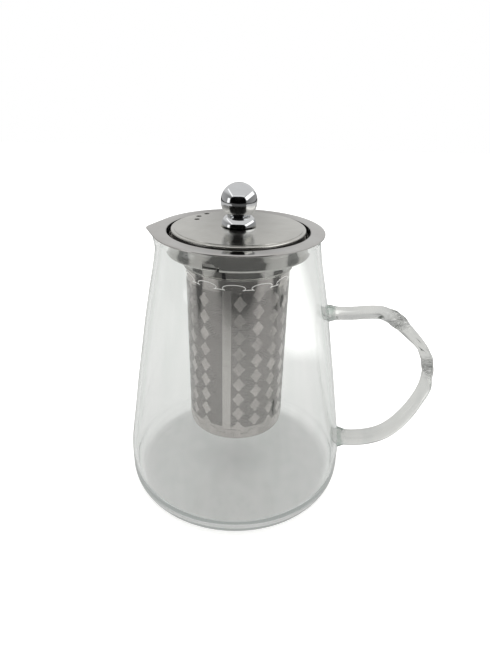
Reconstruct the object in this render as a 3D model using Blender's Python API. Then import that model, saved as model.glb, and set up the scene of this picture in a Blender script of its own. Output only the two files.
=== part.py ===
"""Glass teapot with a lift-out steel infuser and a loose domed lid.

The pot stands on z = 0 with its axis on Z, its handle towards +X and its pouring lip towards -X.
All sizes are in metres.
"""
import math

import bmesh
import bpy
from mathutils import Matrix, Vector

TAU = 2.0 * math.pi

# Clearances
SEAT_GAP = 0.0003          # left between two pieces that touch in the real object
RUN_GAP = 0.0003           # round a piece that turns inside another

# Glass pot
BELLY_RADIUS = 0.0592
MOUTH_RADIUS = 0.0392
RIM_HEIGHT = 0.1408
GLASS_WALL = 0.0020
GLASS_FLOOR = 0.0034
BASE_CORNER_RUN = 0.0072   # how far the base corner reaches in from the belly
BASE_CORNER_RISE = 0.0100
LIP_REACH = 0.0026         # how far the pouring lip leans out past the mouth
LIP_DEPTH = 0.0080
LIP_SPREAD = math.radians(17.0)
# (share of the rim height, share of the way from mouth radius to belly radius)
WALL_SHAPE = ((0.140, 1.000), (0.180, 0.975), (0.240, 0.912), (0.320, 0.823), (0.450, 0.683),
              (0.600, 0.506), (0.700, 0.387), (0.800, 0.253), (0.900, 0.108), (1.000, 0.000))

# Glass handle
HANDLE_WIDTH = 0.0088      # across the rod, square to the handle's own plane
HANDLE_EMBED = 0.0012      # how far the raw rod runs past the wall before it is trimmed
HANDLE_FLARE = 1.30
HANDLE_FLARE_LENGTH = 0.0050
# (centre line past the belly radius, share of the rim height, rod thickness in the handle's plane)
HANDLE_PATH = ((-0.0072, 0.7010, 0.0068), (-0.0006, 0.7030, 0.0066), (0.0058, 0.7075, 0.0066),
               (0.0120, 0.7098, 0.0068), (0.0180, 0.7030, 0.0072), (0.0244, 0.6770, 0.0074),
               (0.0310, 0.6340, 0.0064), (0.0376, 0.5870, 0.0054), (0.0420, 0.5400, 0.0057),
               (0.0444, 0.4900, 0.0060), (0.0452, 0.4430, 0.0061), (0.0450, 0.3920, 0.0072),
               (0.0424, 0.3360, 0.0070), (0.0384, 0.2740, 0.0076), (0.0328, 0.2140, 0.0084),
               (0.0262, 0.1700, 0.0091), (0.0182, 0.1450, 0.0095), (0.0094, 0.1350, 0.0097),
               (0.0034, 0.1360, 0.0098))

# Steel collar
STEEL = 0.0005
FLANGE_THICKNESS = 0.0008
FLANGE_OVERHANG = 0.0023   # flange radius past the glass mouth
NOSE_REACH = 0.0038        # tip of the flange's nose past the flange radius
MOUTH_PLAY = 0.0023        # well wall to the inside of the glass mouth
WELL_DEPTH = 0.0097
NECK_RADIUS = 0.0261       # inside
NECK_LENGTH = 0.0070       # below the shoulder
BEAD = 0.0004
EDGE_ROUND = 0.0006

# Windows and locking slots in the collar
LOCK_COUNT = 2
WINDOW_ANGLE = math.radians(-109.0)
WINDOW_WIDTH = 0.0060
WINDOW_TOP = 0.0066        # below the flange top
WINDOW_HEIGHT = 0.0026
SLOT_ENTRY_ANGLE = math.radians(-102.8)
SLOT_LEAN = math.radians(1.6)
LOCK_TURN = math.radians(14.0)
LOCK_DEPTH = 0.0120        # height of the locking run below the flange top

# Infuser basket
BASKET_FLOOR_HEIGHT = 0.0352
SLEEVE_TAPER = 0.0005
SLEEVE_CORNER = 0.0018
SLEEVE_TOP_DEPTH = 0.0106  # below the flange top
FLOOR_RIM_HEIGHT = 0.0026
BAND_HEIGHT = 0.0048
HOLE_RADIUS = 0.0011
HOLE_PITCH = 0.0050
HOLE_RINGS = 3
STUD_RADIUS = 0.0006
STUD_HEAD_RADIUS = 0.0012
STUD_HEAD_THICKNESS = 0.0004
STUD_STAND_OUT = 0.0004    # past the neck

# Lid
LID_PLAY = 0.0019          # lid edge to the well wall
LID_RISE = 0.0018          # dome top above the flange top
LID_RIM_WIDTH = 0.0019
LID_RIM_TOP = 0.0008
LID_RIM_DROP = 0.0009
SKIRT_INSET = 0.0008       # lid skirt inside the lid's edge
SKIRT_FLANGE = 0.0022
STEAM_RADIUS = 0.0014
# (angle, radius) of each steam hole
STEAM_HOLES = ((math.radians(154.0), 0.0236), (math.radians(141.0), 0.0270),
               (math.radians(127.5), 0.0288))

# Knob
KNOB_RADIUS = 0.0087
KNOB_CENTRE_RISE = 0.0132  # above the flange top
KNOB_BASE_DROP = 0.0060    # flat base below the ball's centre
FOOT_RADIUS = 0.0085
FOOT_TOP_RADIUS = 0.0051   # where the foot's curve meets the ball's base
SCREW_RADIUS = 0.0020
SCREW_HEAD_RADIUS = 0.0038
SCREW_HEAD_HEIGHT = 0.0022
SCREW_REACH = 0.0060       # into the ball
SCREW_SLOT_WIDTH = 0.0010
SCREW_SLOT_DEPTH = 0.0009
WASHER_RADIUS = 0.0050
WASHER_THICKNESS = 0.0005
LOCK_WASHER_RADIUS = 0.0040
LOCK_WASHER_THICKNESS = 0.0008
LOCK_WASHER_SPLIT = 0.0008

# Fineness
POT_SEGMENTS = 60
RING_SEGMENTS = 60
KNOB_SEGMENTS = 40
SMALL_SEGMENTS = 24
ROD_SIDES = 16
HOLE_SIDES = 8
WALL_ROWS = 12
DOME_ROWS = 6
BALL_ROWS = 12
FOOT_ROWS = 7

# Derived
FLANGE_TOP = RIM_HEIGHT + SEAT_GAP + FLANGE_THICKNESS
FLANGE_RADIUS = MOUTH_RADIUS + FLANGE_OVERHANG
WELL_RADIUS = MOUTH_RADIUS - GLASS_WALL - MOUTH_PLAY - STEEL
SLOT_WIDTH = 2 * (STUD_RADIUS + RUN_GAP)
NECK_OUTER = NECK_RADIUS + STEEL
NECK_BOTTOM = FLANGE_TOP - WELL_DEPTH - NECK_LENGTH
SLEEVE_TOP_RADIUS = NECK_RADIUS - RUN_GAP
SLEEVE_BOTTOM_RADIUS = SLEEVE_TOP_RADIUS - SLEEVE_TAPER
BAND_OUTER = SLEEVE_TOP_RADIUS - STEEL - SEAT_GAP - 0.0001
LID_RADIUS = WELL_RADIUS - LID_PLAY
LID_TOP = FLANGE_TOP + LID_RISE
SCREW_HOLE = SCREW_RADIUS + SEAT_GAP
FOOT_BOTTOM = LID_TOP + SEAT_GAP
KNOB_CENTRE = FLANGE_TOP + KNOB_CENTRE_RISE
KNOB_BASE = KNOB_CENTRE - KNOB_BASE_DROP
STUD_ANGLE = SLOT_ENTRY_ANGLE - LOCK_TURN


def clear_scene():
    """Remove whatever the start-up scene holds."""
    for item in list(bpy.data.objects):
        bpy.data.objects.remove(item, do_unlink=True)


def make_material(name, colour, metallic, roughness, transmission=0.0):
    """Principled material of one colour."""
    material = bpy.data.materials.new(name)
    material.use_nodes = True
    shader = material.node_tree.nodes["Principled BSDF"]
    shader.inputs["Base Color"].default_value = (*colour, 1.0)
    shader.inputs["Metallic"].default_value = metallic
    shader.inputs["Roughness"].default_value = roughness
    shader.inputs["Transmission Weight"].default_value = transmission
    return material


def make_object(name, vertices, faces, material=None):
    """Closed, outward-facing, smooth-shaded object from plain vertices and faces."""
    mesh = bpy.data.meshes.new(name)
    mesh.from_pydata([tuple(v) for v in vertices], [], faces)
    shell = bmesh.new()
    shell.from_mesh(mesh)
    bmesh.ops.recalc_face_normals(shell, faces=shell.faces)
    shell.to_mesh(mesh)
    shell.free()
    mesh.shade_smooth()
    mesh.set_sharp_from_angle(angle=math.radians(35.0))
    if material is not None:
        mesh.materials.append(material)
    item = bpy.data.objects.new(name, mesh)
    bpy.context.scene.collection.objects.link(item)
    return item


def revolve(profile, segments, warp=None):
    """Vertices and faces of a profile of (radius, z) turned about Z.

    A profile that starts and ends on the axis makes a solid, any other one a closed ring.
    """
    on_axis = profile[0][0] == 0.0
    vertices = []
    rows = []
    for radius, z in profile:
        if radius == 0.0:
            rows.append([len(vertices)] * segments)
            vertices.append(Vector((0.0, 0.0, z)))
            continue
        rows.append(list(range(len(vertices), len(vertices) + segments)))
        for step in range(segments):
            angle = TAU * step / segments
            reach = radius if warp is None else warp(radius, z, angle)
            vertices.append(Vector((reach * math.cos(angle), reach * math.sin(angle), z)))
    count = len(rows)
    faces = []
    for row in range(count - 1 if on_axis else count):
        lower = rows[row]
        upper = rows[(row + 1) % count]
        for step in range(segments):
            following = (step + 1) % segments
            corners = [lower[step], lower[following], upper[following], upper[step]]
            corners = list(dict.fromkeys(corners))
            if len(corners) > 2:
                faces.append(corners)
    return vertices, faces


def loft(sections):
    """Vertices and faces of a solid skinned over closed sections of equal length."""
    sides = len(sections[0])
    vertices = [point for section in sections for point in section]
    faces = []
    for row in range(len(sections) - 1):
        for side in range(sides):
            following = (side + 1) % sides
            base = row * sides
            faces.append([base + side, base + following, base + sides + following, base + sides + side])
    faces.append(list(range(sides)))
    last = (len(sections) - 1) * sides
    faces.append(list(range(last, last + sides)))
    return vertices, faces


def merge(shapes):
    """Vertices and faces of several separate shapes as one list of each."""
    vertices = []
    faces = []
    for shape_vertices, shape_faces in shapes:
        base = len(vertices)
        vertices.extend(shape_vertices)
        faces.extend([[base + index for index in face] for face in shape_faces])
    return vertices, faces


def turned(shape, matrix):
    """A shape carried by a matrix."""
    vertices, faces = shape
    return [matrix @ Vector(v) for v in vertices], faces


def cut(target, name, shape):
    """Subtract a shape from an object through a live exact Boolean."""
    cutter = make_object(name, *shape)
    cutter.hide_render = True
    cutter.display_type = "WIRE"
    boolean = target.modifiers.new(name, "BOOLEAN")
    boolean.operation = "DIFFERENCE"
    boolean.solver = "EXACT"
    boolean.object = cutter


def arc(centre, radius, start, end, steps):
    """Points on an arc in the (radius, z) plane, ends included, angles in degrees."""
    points = []
    for step in range(steps + 1):
        angle = math.radians(start + (end - start) * step / steps)
        points.append((centre[0] + radius * math.cos(angle), centre[1] + radius * math.sin(angle)))
    return points


def smooth_step(share):
    """Ease from 0 to 1."""
    share = min(max(share, 0.0), 1.0)
    return share * share * (3.0 - 2.0 * share)


def hermite(table, at):
    """Smooth curve through a table of (position, value) pairs."""
    positions = [row[0] for row in table]
    values = [row[1] for row in table]
    at = min(max(at, positions[0]), positions[-1])
    index = max(i for i in range(len(positions) - 1) if positions[i] <= at)
    span = positions[index + 1] - positions[index]
    share = (at - positions[index]) / span

    def slope(i):
        low = max(i - 1, 0)
        high = min(i + 1, len(positions) - 1)
        return (values[high] - values[low]) / (positions[high] - positions[low])

    square = share * share
    cube = square * share
    return ((2 * cube - 3 * square + 1) * values[index]
            + (cube - 2 * square + share) * span * slope(index)
            + (3 * square - 2 * cube) * values[index + 1]
            + (cube - square) * span * slope(index + 1))


def wall_radius(z):
    """Outer radius of the glass at a height above the base corner."""
    share = hermite(WALL_SHAPE, z / RIM_HEIGHT)
    return MOUTH_RADIUS + (BELLY_RADIUS - MOUTH_RADIUS) * share


def wall_heights(start, rows):
    """Evenly spread heights from a start up to just under the rounded rim."""
    end = RIM_HEIGHT - GLASS_WALL / 2
    return [start + (end - start) * row / rows for row in range(rows + 1)]


def base_corner(inset, floor):
    """Rounded base corner, moved in by an inset, from a floor height up to the wall."""
    foot = BELLY_RADIUS - BASE_CORNER_RUN
    points = []
    for step in range(6):
        angle = math.radians(90.0 * step / 5)
        radius = foot - inset * 0.6 + (BASE_CORNER_RUN - inset * 0.4) * math.sin(angle)
        points.append((radius, floor + BASE_CORNER_RISE * (1.0 - math.cos(angle))))
    return points


def pot_outside(extra=0.0):
    """Outer profile of the glass from the axis to the rim, moved out by an extra."""
    start = BASE_CORNER_RISE + 0.004
    points = [(0.0, -extra)]
    points += [(radius + extra, z - extra * (z < extra)) for radius, z in base_corner(0.0, 0.0)]
    points += [(wall_radius(max(z, WALL_SHAPE[0][0] * RIM_HEIGHT)) + extra, z)
               for z in wall_heights(start, WALL_ROWS)]
    return points


def pot_profile():
    """Closed profile of the whole glass wall and floor."""
    outside = pot_outside()
    rim_z = RIM_HEIGHT - GLASS_WALL / 2
    rim = arc((MOUTH_RADIUS - GLASS_WALL / 2, rim_z), GLASS_WALL / 2, 22.5, 157.5, 6)
    start = GLASS_FLOOR + BASE_CORNER_RISE + 0.003
    inside = [(wall_radius(max(z, WALL_SHAPE[0][0] * RIM_HEIGHT)) - GLASS_WALL, z)
              for z in reversed(wall_heights(start, WALL_ROWS))]
    corner = list(reversed(base_corner(GLASS_WALL, GLASS_FLOOR)))
    return outside + rim + inside + corner + [(0.0, GLASS_FLOOR)]


def lip_warp(radius, z, angle):
    """Lean the mouth outwards at the pouring lip."""
    off = (angle - math.pi) / LIP_SPREAD
    rise = smooth_step((z - RIM_HEIGHT + LIP_DEPTH) / LIP_DEPTH)
    return radius + LIP_REACH * rise * math.exp(-off * off)


def build_pot(material):
    """Blown glass body with its pouring lip."""
    return make_object("glass_pot", *revolve(pot_profile(), POT_SEGMENTS, lip_warp), material)


def handle_stations():
    """Points (centre, thickness) along the handle, both ends running past the wall."""
    stations = []
    for offset, share, thickness in HANDLE_PATH:
        centre = Vector((BELLY_RADIUS + offset, 0.0, share * RIM_HEIGHT))
        stations.append((centre, thickness))
    ends = []
    for centre, thickness in (stations[0], stations[-1]):
        inner = wall_radius(max(centre.z, WALL_SHAPE[0][0] * RIM_HEIGHT)) - HANDLE_EMBED
        ends.append((Vector((inner, 0.0, centre.z)), thickness))
    return [ends[0]] + stations + [ends[1]]


def rounded_path(stations, steps):
    """Stations filled in by a centripetal-like Catmull-Rom curve."""
    filled = []
    last = len(stations) - 1
    for index in range(last):
        before = stations[max(index - 1, 0)]
        here = stations[index]
        there = stations[index + 1]
        after = stations[min(index + 2, last)]
        for step in range(steps):
            t = step / steps
            weights = (-0.5 * t ** 3 + t ** 2 - 0.5 * t, 1.5 * t ** 3 - 2.5 * t ** 2 + 1.0,
                       -1.5 * t ** 3 + 2.0 * t ** 2 + 0.5 * t, 0.5 * t ** 3 - 0.5 * t ** 2)
            group = (before, here, there, after)
            centre = sum((w * item[0] for w, item in zip(weights, group)), Vector())
            thickness = sum(w * item[1] for w, item in zip(weights, group))
            filled.append((centre, thickness))
    filled.append(stations[last])
    return filled


def flare(distance):
    """Swelling of the rod at a distance from the wall."""
    return 1.0 + (HANDLE_FLARE - 1.0) * (1.0 - smooth_step(distance / HANDLE_FLARE_LENGTH))


def build_handle(material):
    """Glass rod bent into a loop and trimmed to the wall."""
    path = rounded_path(handle_stations(), 3)
    sections = []
    for index, (centre, thickness) in enumerate(path):
        before = path[max(index - 1, 0)][0]
        after = path[min(index + 1, len(path) - 1)][0]
        along = (after - before).normalized()
        across = Vector((0.0, 1.0, 0.0))
        normal = along.cross(across)
        ends = (path[0][0], path[-1][0])
        swell = flare(min((centre - end).length for end in ends))
        section = []
        for side in range(ROD_SIDES):
            angle = TAU * side / ROD_SIDES
            section.append(centre + across * (HANDLE_WIDTH / 2 * swell * math.cos(angle))
                           + normal * (thickness / 2 * swell * math.sin(angle)))
        sections.append(section)
    handle = make_object("glass_handle", *loft(sections), material)
    outside = pot_outside(SEAT_GAP)
    profile = outside + [(0.0, outside[-1][1])]
    cut(handle, "handle_trim", revolve(profile, 2 * POT_SEGMENTS))
    return handle


def collar_profile():
    """Closed profile of the pressed collar: neck, shoulder, well wall and flange."""
    top = FLANGE_TOP
    shoulder = top - WELL_DEPTH
    well_out = WELL_RADIUS + STEEL
    points = [(NECK_RADIUS, NECK_BOTTOM), (NECK_RADIUS, shoulder - EDGE_ROUND)]
    points += [(NECK_RADIUS + EDGE_ROUND, shoulder), (WELL_RADIUS - EDGE_ROUND, shoulder)]
    points += [(WELL_RADIUS, shoulder + EDGE_ROUND), (WELL_RADIUS, top - EDGE_ROUND)]
    points += [(WELL_RADIUS + EDGE_ROUND, top), (FLANGE_RADIUS - EDGE_ROUND / 2, top)]
    points += [(FLANGE_RADIUS, top - FLANGE_THICKNESS / 3)]
    points += [(FLANGE_RADIUS, top - FLANGE_THICKNESS)]
    points += [(well_out + EDGE_ROUND, top - FLANGE_THICKNESS)]
    points += [(well_out, top - FLANGE_THICKNESS - EDGE_ROUND)]
    points += [(well_out, shoulder + EDGE_ROUND - STEEL), (well_out - EDGE_ROUND, shoulder - STEEL)]
    points += [(NECK_OUTER + EDGE_ROUND, shoulder - STEEL)]
    points += [(NECK_OUTER, shoulder - STEEL - EDGE_ROUND), (NECK_OUTER, NECK_BOTTOM + 2 * BEAD)]
    points += [(NECK_OUTER + BEAD, NECK_BOTTOM + BEAD), (NECK_OUTER + BEAD, NECK_BOTTOM)]
    return points


def nose_warp(radius, z, angle):
    """Draw the flange out to a nose over the pouring lip."""
    inner = WELL_RADIUS + STEEL + EDGE_ROUND
    if radius <= inner:
        return radius
    spread = math.acos(FLANGE_RADIUS / (FLANGE_RADIUS + NOSE_REACH))
    off = math.sqrt((angle - math.pi) ** 2 + 0.0009)
    if off >= spread:
        return radius
    edge = FLANGE_RADIUS / math.cos(spread - off)
    return radius + (edge - FLANGE_RADIUS) * (radius - inner) / (FLANGE_RADIUS - inner)


def sector_block(inner, outer, angle_low, angle_high, low, high, lean=0.0):
    """Block between two radii, two angles and two heights, its foot turned by a lean."""
    sections = []
    for z, turn in ((low, lean), (high, 0.0)):
        section = []
        for radius, angle in ((inner, angle_low), (outer, angle_low),
                              (outer, angle_high), (inner, angle_high)):
            section.append(Vector((radius * math.cos(angle + turn), radius * math.sin(angle + turn), z)))
        sections.append(section)
    return loft(sections)


def window_shape():
    """Rounded window through the well wall."""
    half = WINDOW_WIDTH / 2 / WELL_RADIUS
    low = FLANGE_TOP - WINDOW_TOP - WINDOW_HEIGHT
    shoulder = WINDOW_HEIGHT * 0.55
    corner = half * 0.25
    outline = ((-half, low), (half, low), (half, low + shoulder), (half - corner, low + WINDOW_HEIGHT * 0.88),
               (half - 2 * corner, low + WINDOW_HEIGHT), (-half + corner, low + WINDOW_HEIGHT),
               (-half, low + shoulder))
    sections = []
    for radius in (WELL_RADIUS - STEEL, WELL_RADIUS + 3 * STEEL):
        sections.append([Vector((radius * math.cos(WINDOW_ANGLE + a), radius * math.sin(WINDOW_ANGLE + a), z))
                         for a, z in outline])
    return loft(sections)


def slot_shapes():
    """Entry slit and locking run of one slot."""
    half = SLOT_WIDTH / 2
    inner = NECK_RADIUS - 2 * STEEL
    neck = NECK_OUTER + BEAD + STEEL
    shoulder = FLANGE_TOP - WELL_DEPTH
    wide = half / WELL_RADIUS
    narrow = half / NECK_OUTER
    entry = SLOT_ENTRY_ANGLE
    run_low = FLANGE_TOP - LOCK_DEPTH - half
    run_high = FLANGE_TOP - LOCK_DEPTH + half
    upper = sector_block(NECK_OUTER + STEEL / 2, WELL_RADIUS + 2 * STEEL, entry - wide, entry + wide,
                         shoulder - 2 * STEEL, shoulder + WINDOW_HEIGHT * 0.7)
    slit = sector_block(inner, neck, entry - narrow, entry + narrow,
                        NECK_BOTTOM - STEEL, shoulder + STEEL, SLOT_LEAN)
    end = STUD_ANGLE - (STUD_RADIUS + RUN_GAP) / NECK_OUTER
    run = sector_block(inner, neck - BEAD, end, entry + narrow / 2, run_low, run_high)
    return upper, slit, run


def lock_turns():
    """Matrices that place one copy per lock round the axis."""
    return [Matrix.Rotation(TAU * lock / LOCK_COUNT, 4, "Z") for lock in range(LOCK_COUNT)]


def build_collar(material):
    """Pressed steel collar that hangs on the glass rim."""
    collar = make_object("collar_ring", *revolve(collar_profile(), RING_SEGMENTS, nose_warp), material)
    window = window_shape()
    cut(collar, "window_cut", merge([turned(window, turn) for turn in lock_turns()]))
    names = ("shoulder_slit_cut", "neck_slit_cut", "locking_run_cut")
    for name, shape in zip(names, slot_shapes()):
        cut(collar, name, merge([turned(shape, turn) for turn in lock_turns()]))
    return collar


def sleeve_radius(z):
    """Outer radius of the tapered sleeve at a height."""
    top = FLANGE_TOP - SLEEVE_TOP_DEPTH
    share = (z - BASKET_FLOOR_HEIGHT) / (top - BASKET_FLOOR_HEIGHT)
    return SLEEVE_BOTTOM_RADIUS + SLEEVE_TAPER * min(share, 1.0)


def sleeve_profile():
    """Closed profile of the rolled sleeve with its turned-in bottom edge."""
    top = FLANGE_TOP - SLEEVE_TOP_DEPTH
    low = BASKET_FLOOR_HEIGHT
    centre = (SLEEVE_BOTTOM_RADIUS - SLEEVE_CORNER, low + SLEEVE_CORNER)
    outside = arc(centre, SLEEVE_CORNER, -90.0, 0.0, 5)
    inside = arc(centre, SLEEVE_CORNER - STEEL, 0.0, -90.0, 5)
    middle = [low + (top - low) * share for share in (0.35, 0.70)]
    points = outside + [(sleeve_radius(z), z) for z in middle]
    points += [(SLEEVE_TOP_RADIUS, top), (SLEEVE_TOP_RADIUS - STEEL, top)]
    points += [(sleeve_radius(z) - STEEL, z) for z in reversed(middle)]
    return points + inside


def stud_holes():
    """Radial holes that the locking studs pass through."""
    drill = [(0.0, SLEEVE_TOP_RADIUS - 6 * STEEL), (STUD_RADIUS + SEAT_GAP, SLEEVE_TOP_RADIUS - 6 * STEEL),
             (STUD_RADIUS + SEAT_GAP, SLEEVE_TOP_RADIUS + STEEL), (0.0, SLEEVE_TOP_RADIUS + STEEL)]
    return merge([turned(revolve(drill, SMALL_SEGMENTS // 2), turn @ stud_placing())
                  for turn in lock_turns()])


def stud_placing():
    """Matrix from a profile turned about Z to a stud standing out along its radius."""
    lift = Matrix.Translation((0.0, 0.0, FLANGE_TOP - LOCK_DEPTH))
    return lift @ Matrix.Rotation(STUD_ANGLE, 4, "Z") @ Matrix.Rotation(math.pi / 2, 4, "Y")


def build_basket(material):
    """Rolled sleeve, inner band and perforated floor."""
    sleeve = make_object("basket_sleeve", *revolve(sleeve_profile(), RING_SEGMENTS), material["etched"])
    cut(sleeve, "sleeve_stud_cut", stud_holes())
    top = FLANGE_TOP - SLEEVE_TOP_DEPTH
    inner = BAND_OUTER - STEEL
    ring = [(inner, top - BAND_HEIGHT), (BAND_OUTER, top - BAND_HEIGHT), (BAND_OUTER, top), (inner, top)]
    band = make_object("basket_band", *revolve(ring, RING_SEGMENTS), material["plain"])
    cut(band, "band_stud_cut", stud_holes())
    build_floor(material["plain"])


def floor_holes():
    """Round cutters on rings about the axis."""
    low = BASKET_FLOOR_HEIGHT
    high = BASKET_FLOOR_HEIGHT + 4 * STEEL
    drill = [(0.0, low), (HOLE_RADIUS, low), (HOLE_RADIUS, high), (0.0, high)]
    shapes = [revolve(drill, HOLE_SIDES)]
    for ring in range(1, HOLE_RINGS + 1):
        for step in range(6 * ring):
            spin = Matrix.Rotation(TAU * step / (6 * ring), 4, "Z")
            shapes.append(turned(revolve(drill, HOLE_SIDES),
                                 spin @ Matrix.Translation((ring * HOLE_PITCH, 0.0, 0.0))))
    return merge(shapes)


def build_floor(material):
    """Perforated cup set inside the bottom of the sleeve."""
    outer = SLEEVE_BOTTOM_RADIUS - STEEL - SEAT_GAP
    low = BASKET_FLOOR_HEIGHT + STEEL + SEAT_GAP
    corner = SLEEVE_CORNER - STEEL
    top = low + FLOOR_RIM_HEIGHT
    profile = [(0.0, low)] + arc((outer - corner, low + corner), corner, -90.0, 0.0, 4) + [(outer, top)]
    profile += [(outer - STEEL, top)]
    profile += arc((outer - corner, low + corner), corner - STEEL, 0.0, -90.0, 4) + [(0.0, low + STEEL)]
    floor = make_object("basket_floor", *revolve(profile, RING_SEGMENTS), material)
    cut(floor, "floor_hole_cut", floor_holes())


def build_studs(material):
    """Headed studs that lock the basket into the collar's slots."""
    head_in = BAND_OUTER - STEEL - SEAT_GAP - STUD_HEAD_THICKNESS
    head_out = head_in + STUD_HEAD_THICKNESS
    tip = NECK_OUTER + STUD_STAND_OUT
    profile = [(0.0, head_in), (STUD_HEAD_RADIUS, head_in), (STUD_HEAD_RADIUS, head_out),
               (STUD_RADIUS, head_out), (STUD_RADIUS, tip), (0.0, tip)]
    names = ("locking_stud_front", "locking_stud_back")
    for name, turn in zip(names, lock_turns()):
        shape = turned(revolve(profile, SMALL_SEGMENTS // 2), turn @ stud_placing())
        make_object(name, *shape, material)


def dome_height(radius):
    """Top of the lid's dome at a radius."""
    flat = LID_RADIUS - LID_RIM_WIDTH
    share = min(radius / flat, 1.0)
    return LID_TOP - (LID_RISE - LID_RIM_TOP - STEEL) * share ** 2


def build_lid(material):
    """Domed lid with its steam holes and the skirt that centres it in the well."""
    flat = LID_RADIUS - LID_RIM_WIDTH
    top = FLANGE_TOP + LID_RIM_TOP
    rings = [SCREW_HOLE + (flat - SCREW_HOLE) * step / DOME_ROWS for step in range(DOME_ROWS + 1)]
    upper = [(radius, dome_height(radius)) for radius in rings]
    rim = [(flat + STEEL, top), (LID_RADIUS - STEEL, top), (LID_RADIUS, top - STEEL),
           (LID_RADIUS, top - LID_RIM_DROP), (LID_RADIUS - STEEL, top - LID_RIM_DROP),
           (LID_RADIUS - STEEL, top - STEEL), (flat + STEEL, top - STEEL)]
    lower = [(radius, z - STEEL) for radius, z in reversed(upper)]
    dome = make_object("lid_dome", *revolve(upper + rim + lower, RING_SEGMENTS), material)
    drill = [(0.0, FLANGE_TOP - STEEL), (STEAM_RADIUS, FLANGE_TOP - STEEL),
             (STEAM_RADIUS, LID_TOP + STEEL), (0.0, LID_TOP + STEEL)]
    placings = [Matrix.Translation((radius * math.cos(angle), radius * math.sin(angle), 0.0))
                for angle, radius in STEAM_HOLES]
    cut(dome, "steam_cut", merge([turned(revolve(drill, SMALL_SEGMENTS), m) for m in placings]))
    build_skirt(material)


def build_skirt(material):
    """Ring under the lid that stands on the collar's shoulder."""
    outer = LID_RADIUS - SKIRT_INSET
    inner = outer - STEEL
    top = FLANGE_TOP + LID_RIM_TOP - STEEL - SEAT_GAP
    low = FLANGE_TOP - WELL_DEPTH + SEAT_GAP
    lip = inner - SKIRT_FLANGE
    ring = [(inner, low), (outer, low), (outer, top), (lip, top), (lip, top - STEEL), (inner, top - STEEL)]
    make_object("lid_skirt", *revolve(ring, RING_SEGMENTS), material)


def build_knob(material):
    """Ball knob on its domed foot."""
    base_radius = math.sqrt(KNOB_RADIUS ** 2 - KNOB_BASE_DROP ** 2)
    start = -math.degrees(math.asin(KNOB_BASE_DROP / KNOB_RADIUS))
    ball = [(SCREW_HOLE, KNOB_BASE), (base_radius, KNOB_BASE)]
    ball += arc((0.0, KNOB_CENTRE), KNOB_RADIUS, start, 90.0, BALL_ROWS)[1:-1]
    bore_top = KNOB_BASE + SCREW_REACH + SEAT_GAP
    ball = [(0.0, bore_top), (SCREW_HOLE, bore_top)] + ball + [(0.0, KNOB_CENTRE + KNOB_RADIUS)]
    make_object("knob_ball", *revolve(ball, KNOB_SEGMENTS), material)
    foot_top = KNOB_BASE - SEAT_GAP
    height = foot_top - FOOT_BOTTOM
    end = math.acos(FOOT_TOP_RADIUS / FOOT_RADIUS)
    foot = [(SCREW_HOLE, FOOT_BOTTOM)]
    for step in range(FOOT_ROWS + 1):
        angle = end * step / FOOT_ROWS
        foot.append((FOOT_RADIUS * math.cos(angle), FOOT_BOTTOM + height * math.sin(angle) / math.sin(end)))
    foot.append((SCREW_HOLE, foot_top))
    make_object("knob_foot", *revolve(foot, KNOB_SEGMENTS), material)


def split_ring(inner, outer, low, high, gap):
    """Ring with one narrow split."""
    half = gap / 2 / outer
    sections = []
    for step in range(SMALL_SEGMENTS + 1):
        angle = half + (TAU - 2 * half) * step / SMALL_SEGMENTS
        along = Vector((math.cos(angle), math.sin(angle), 0.0))
        sections.append([along * radius + Vector((0.0, 0.0, z))
                         for radius, z in ((inner, low), (outer, low), (outer, high), (inner, high))])
    return loft(sections)


def build_fixings(material):
    """Screw and washers that hold the knob to the lid."""
    washer_top = LID_TOP - STEEL - SEAT_GAP
    washer_low = washer_top - WASHER_THICKNESS
    ring = [(SCREW_HOLE, washer_low), (WASHER_RADIUS, washer_low),
            (WASHER_RADIUS, washer_top), (SCREW_HOLE, washer_top)]
    make_object("knob_washer", *revolve(ring, SMALL_SEGMENTS), material)
    spring_top = washer_low - SEAT_GAP
    spring_low = spring_top - LOCK_WASHER_THICKNESS
    make_object("knob_lock_washer", *split_ring(SCREW_HOLE, LOCK_WASHER_RADIUS, spring_low, spring_top,
                                                LOCK_WASHER_SPLIT), material)
    head_top = spring_low - SEAT_GAP
    head_low = head_top - SCREW_HEAD_HEIGHT
    edge = SCREW_HEAD_HEIGHT / 4
    profile = [(0.0, head_low), (SCREW_HEAD_RADIUS - edge, head_low), (SCREW_HEAD_RADIUS, head_low + edge),
               (SCREW_HEAD_RADIUS, head_top), (SCREW_RADIUS, head_top),
               (SCREW_RADIUS, KNOB_BASE + SCREW_REACH), (0.0, KNOB_BASE + SCREW_REACH)]
    screw = make_object("knob_screw", *revolve(profile, SMALL_SEGMENTS), material)
    reach = 2 * SCREW_HEAD_RADIUS
    half = SCREW_SLOT_WIDTH / 2
    low = head_low - SCREW_SLOT_DEPTH
    high = head_low + SCREW_SLOT_DEPTH
    outline = ((-reach, -half), (reach, -half), (reach, half), (-reach, half))
    slot = loft([[Vector((x, y, z)) for x, y in outline] for z in (low, high)])
    cut(screw, "screw_slot_cut", slot)


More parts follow.
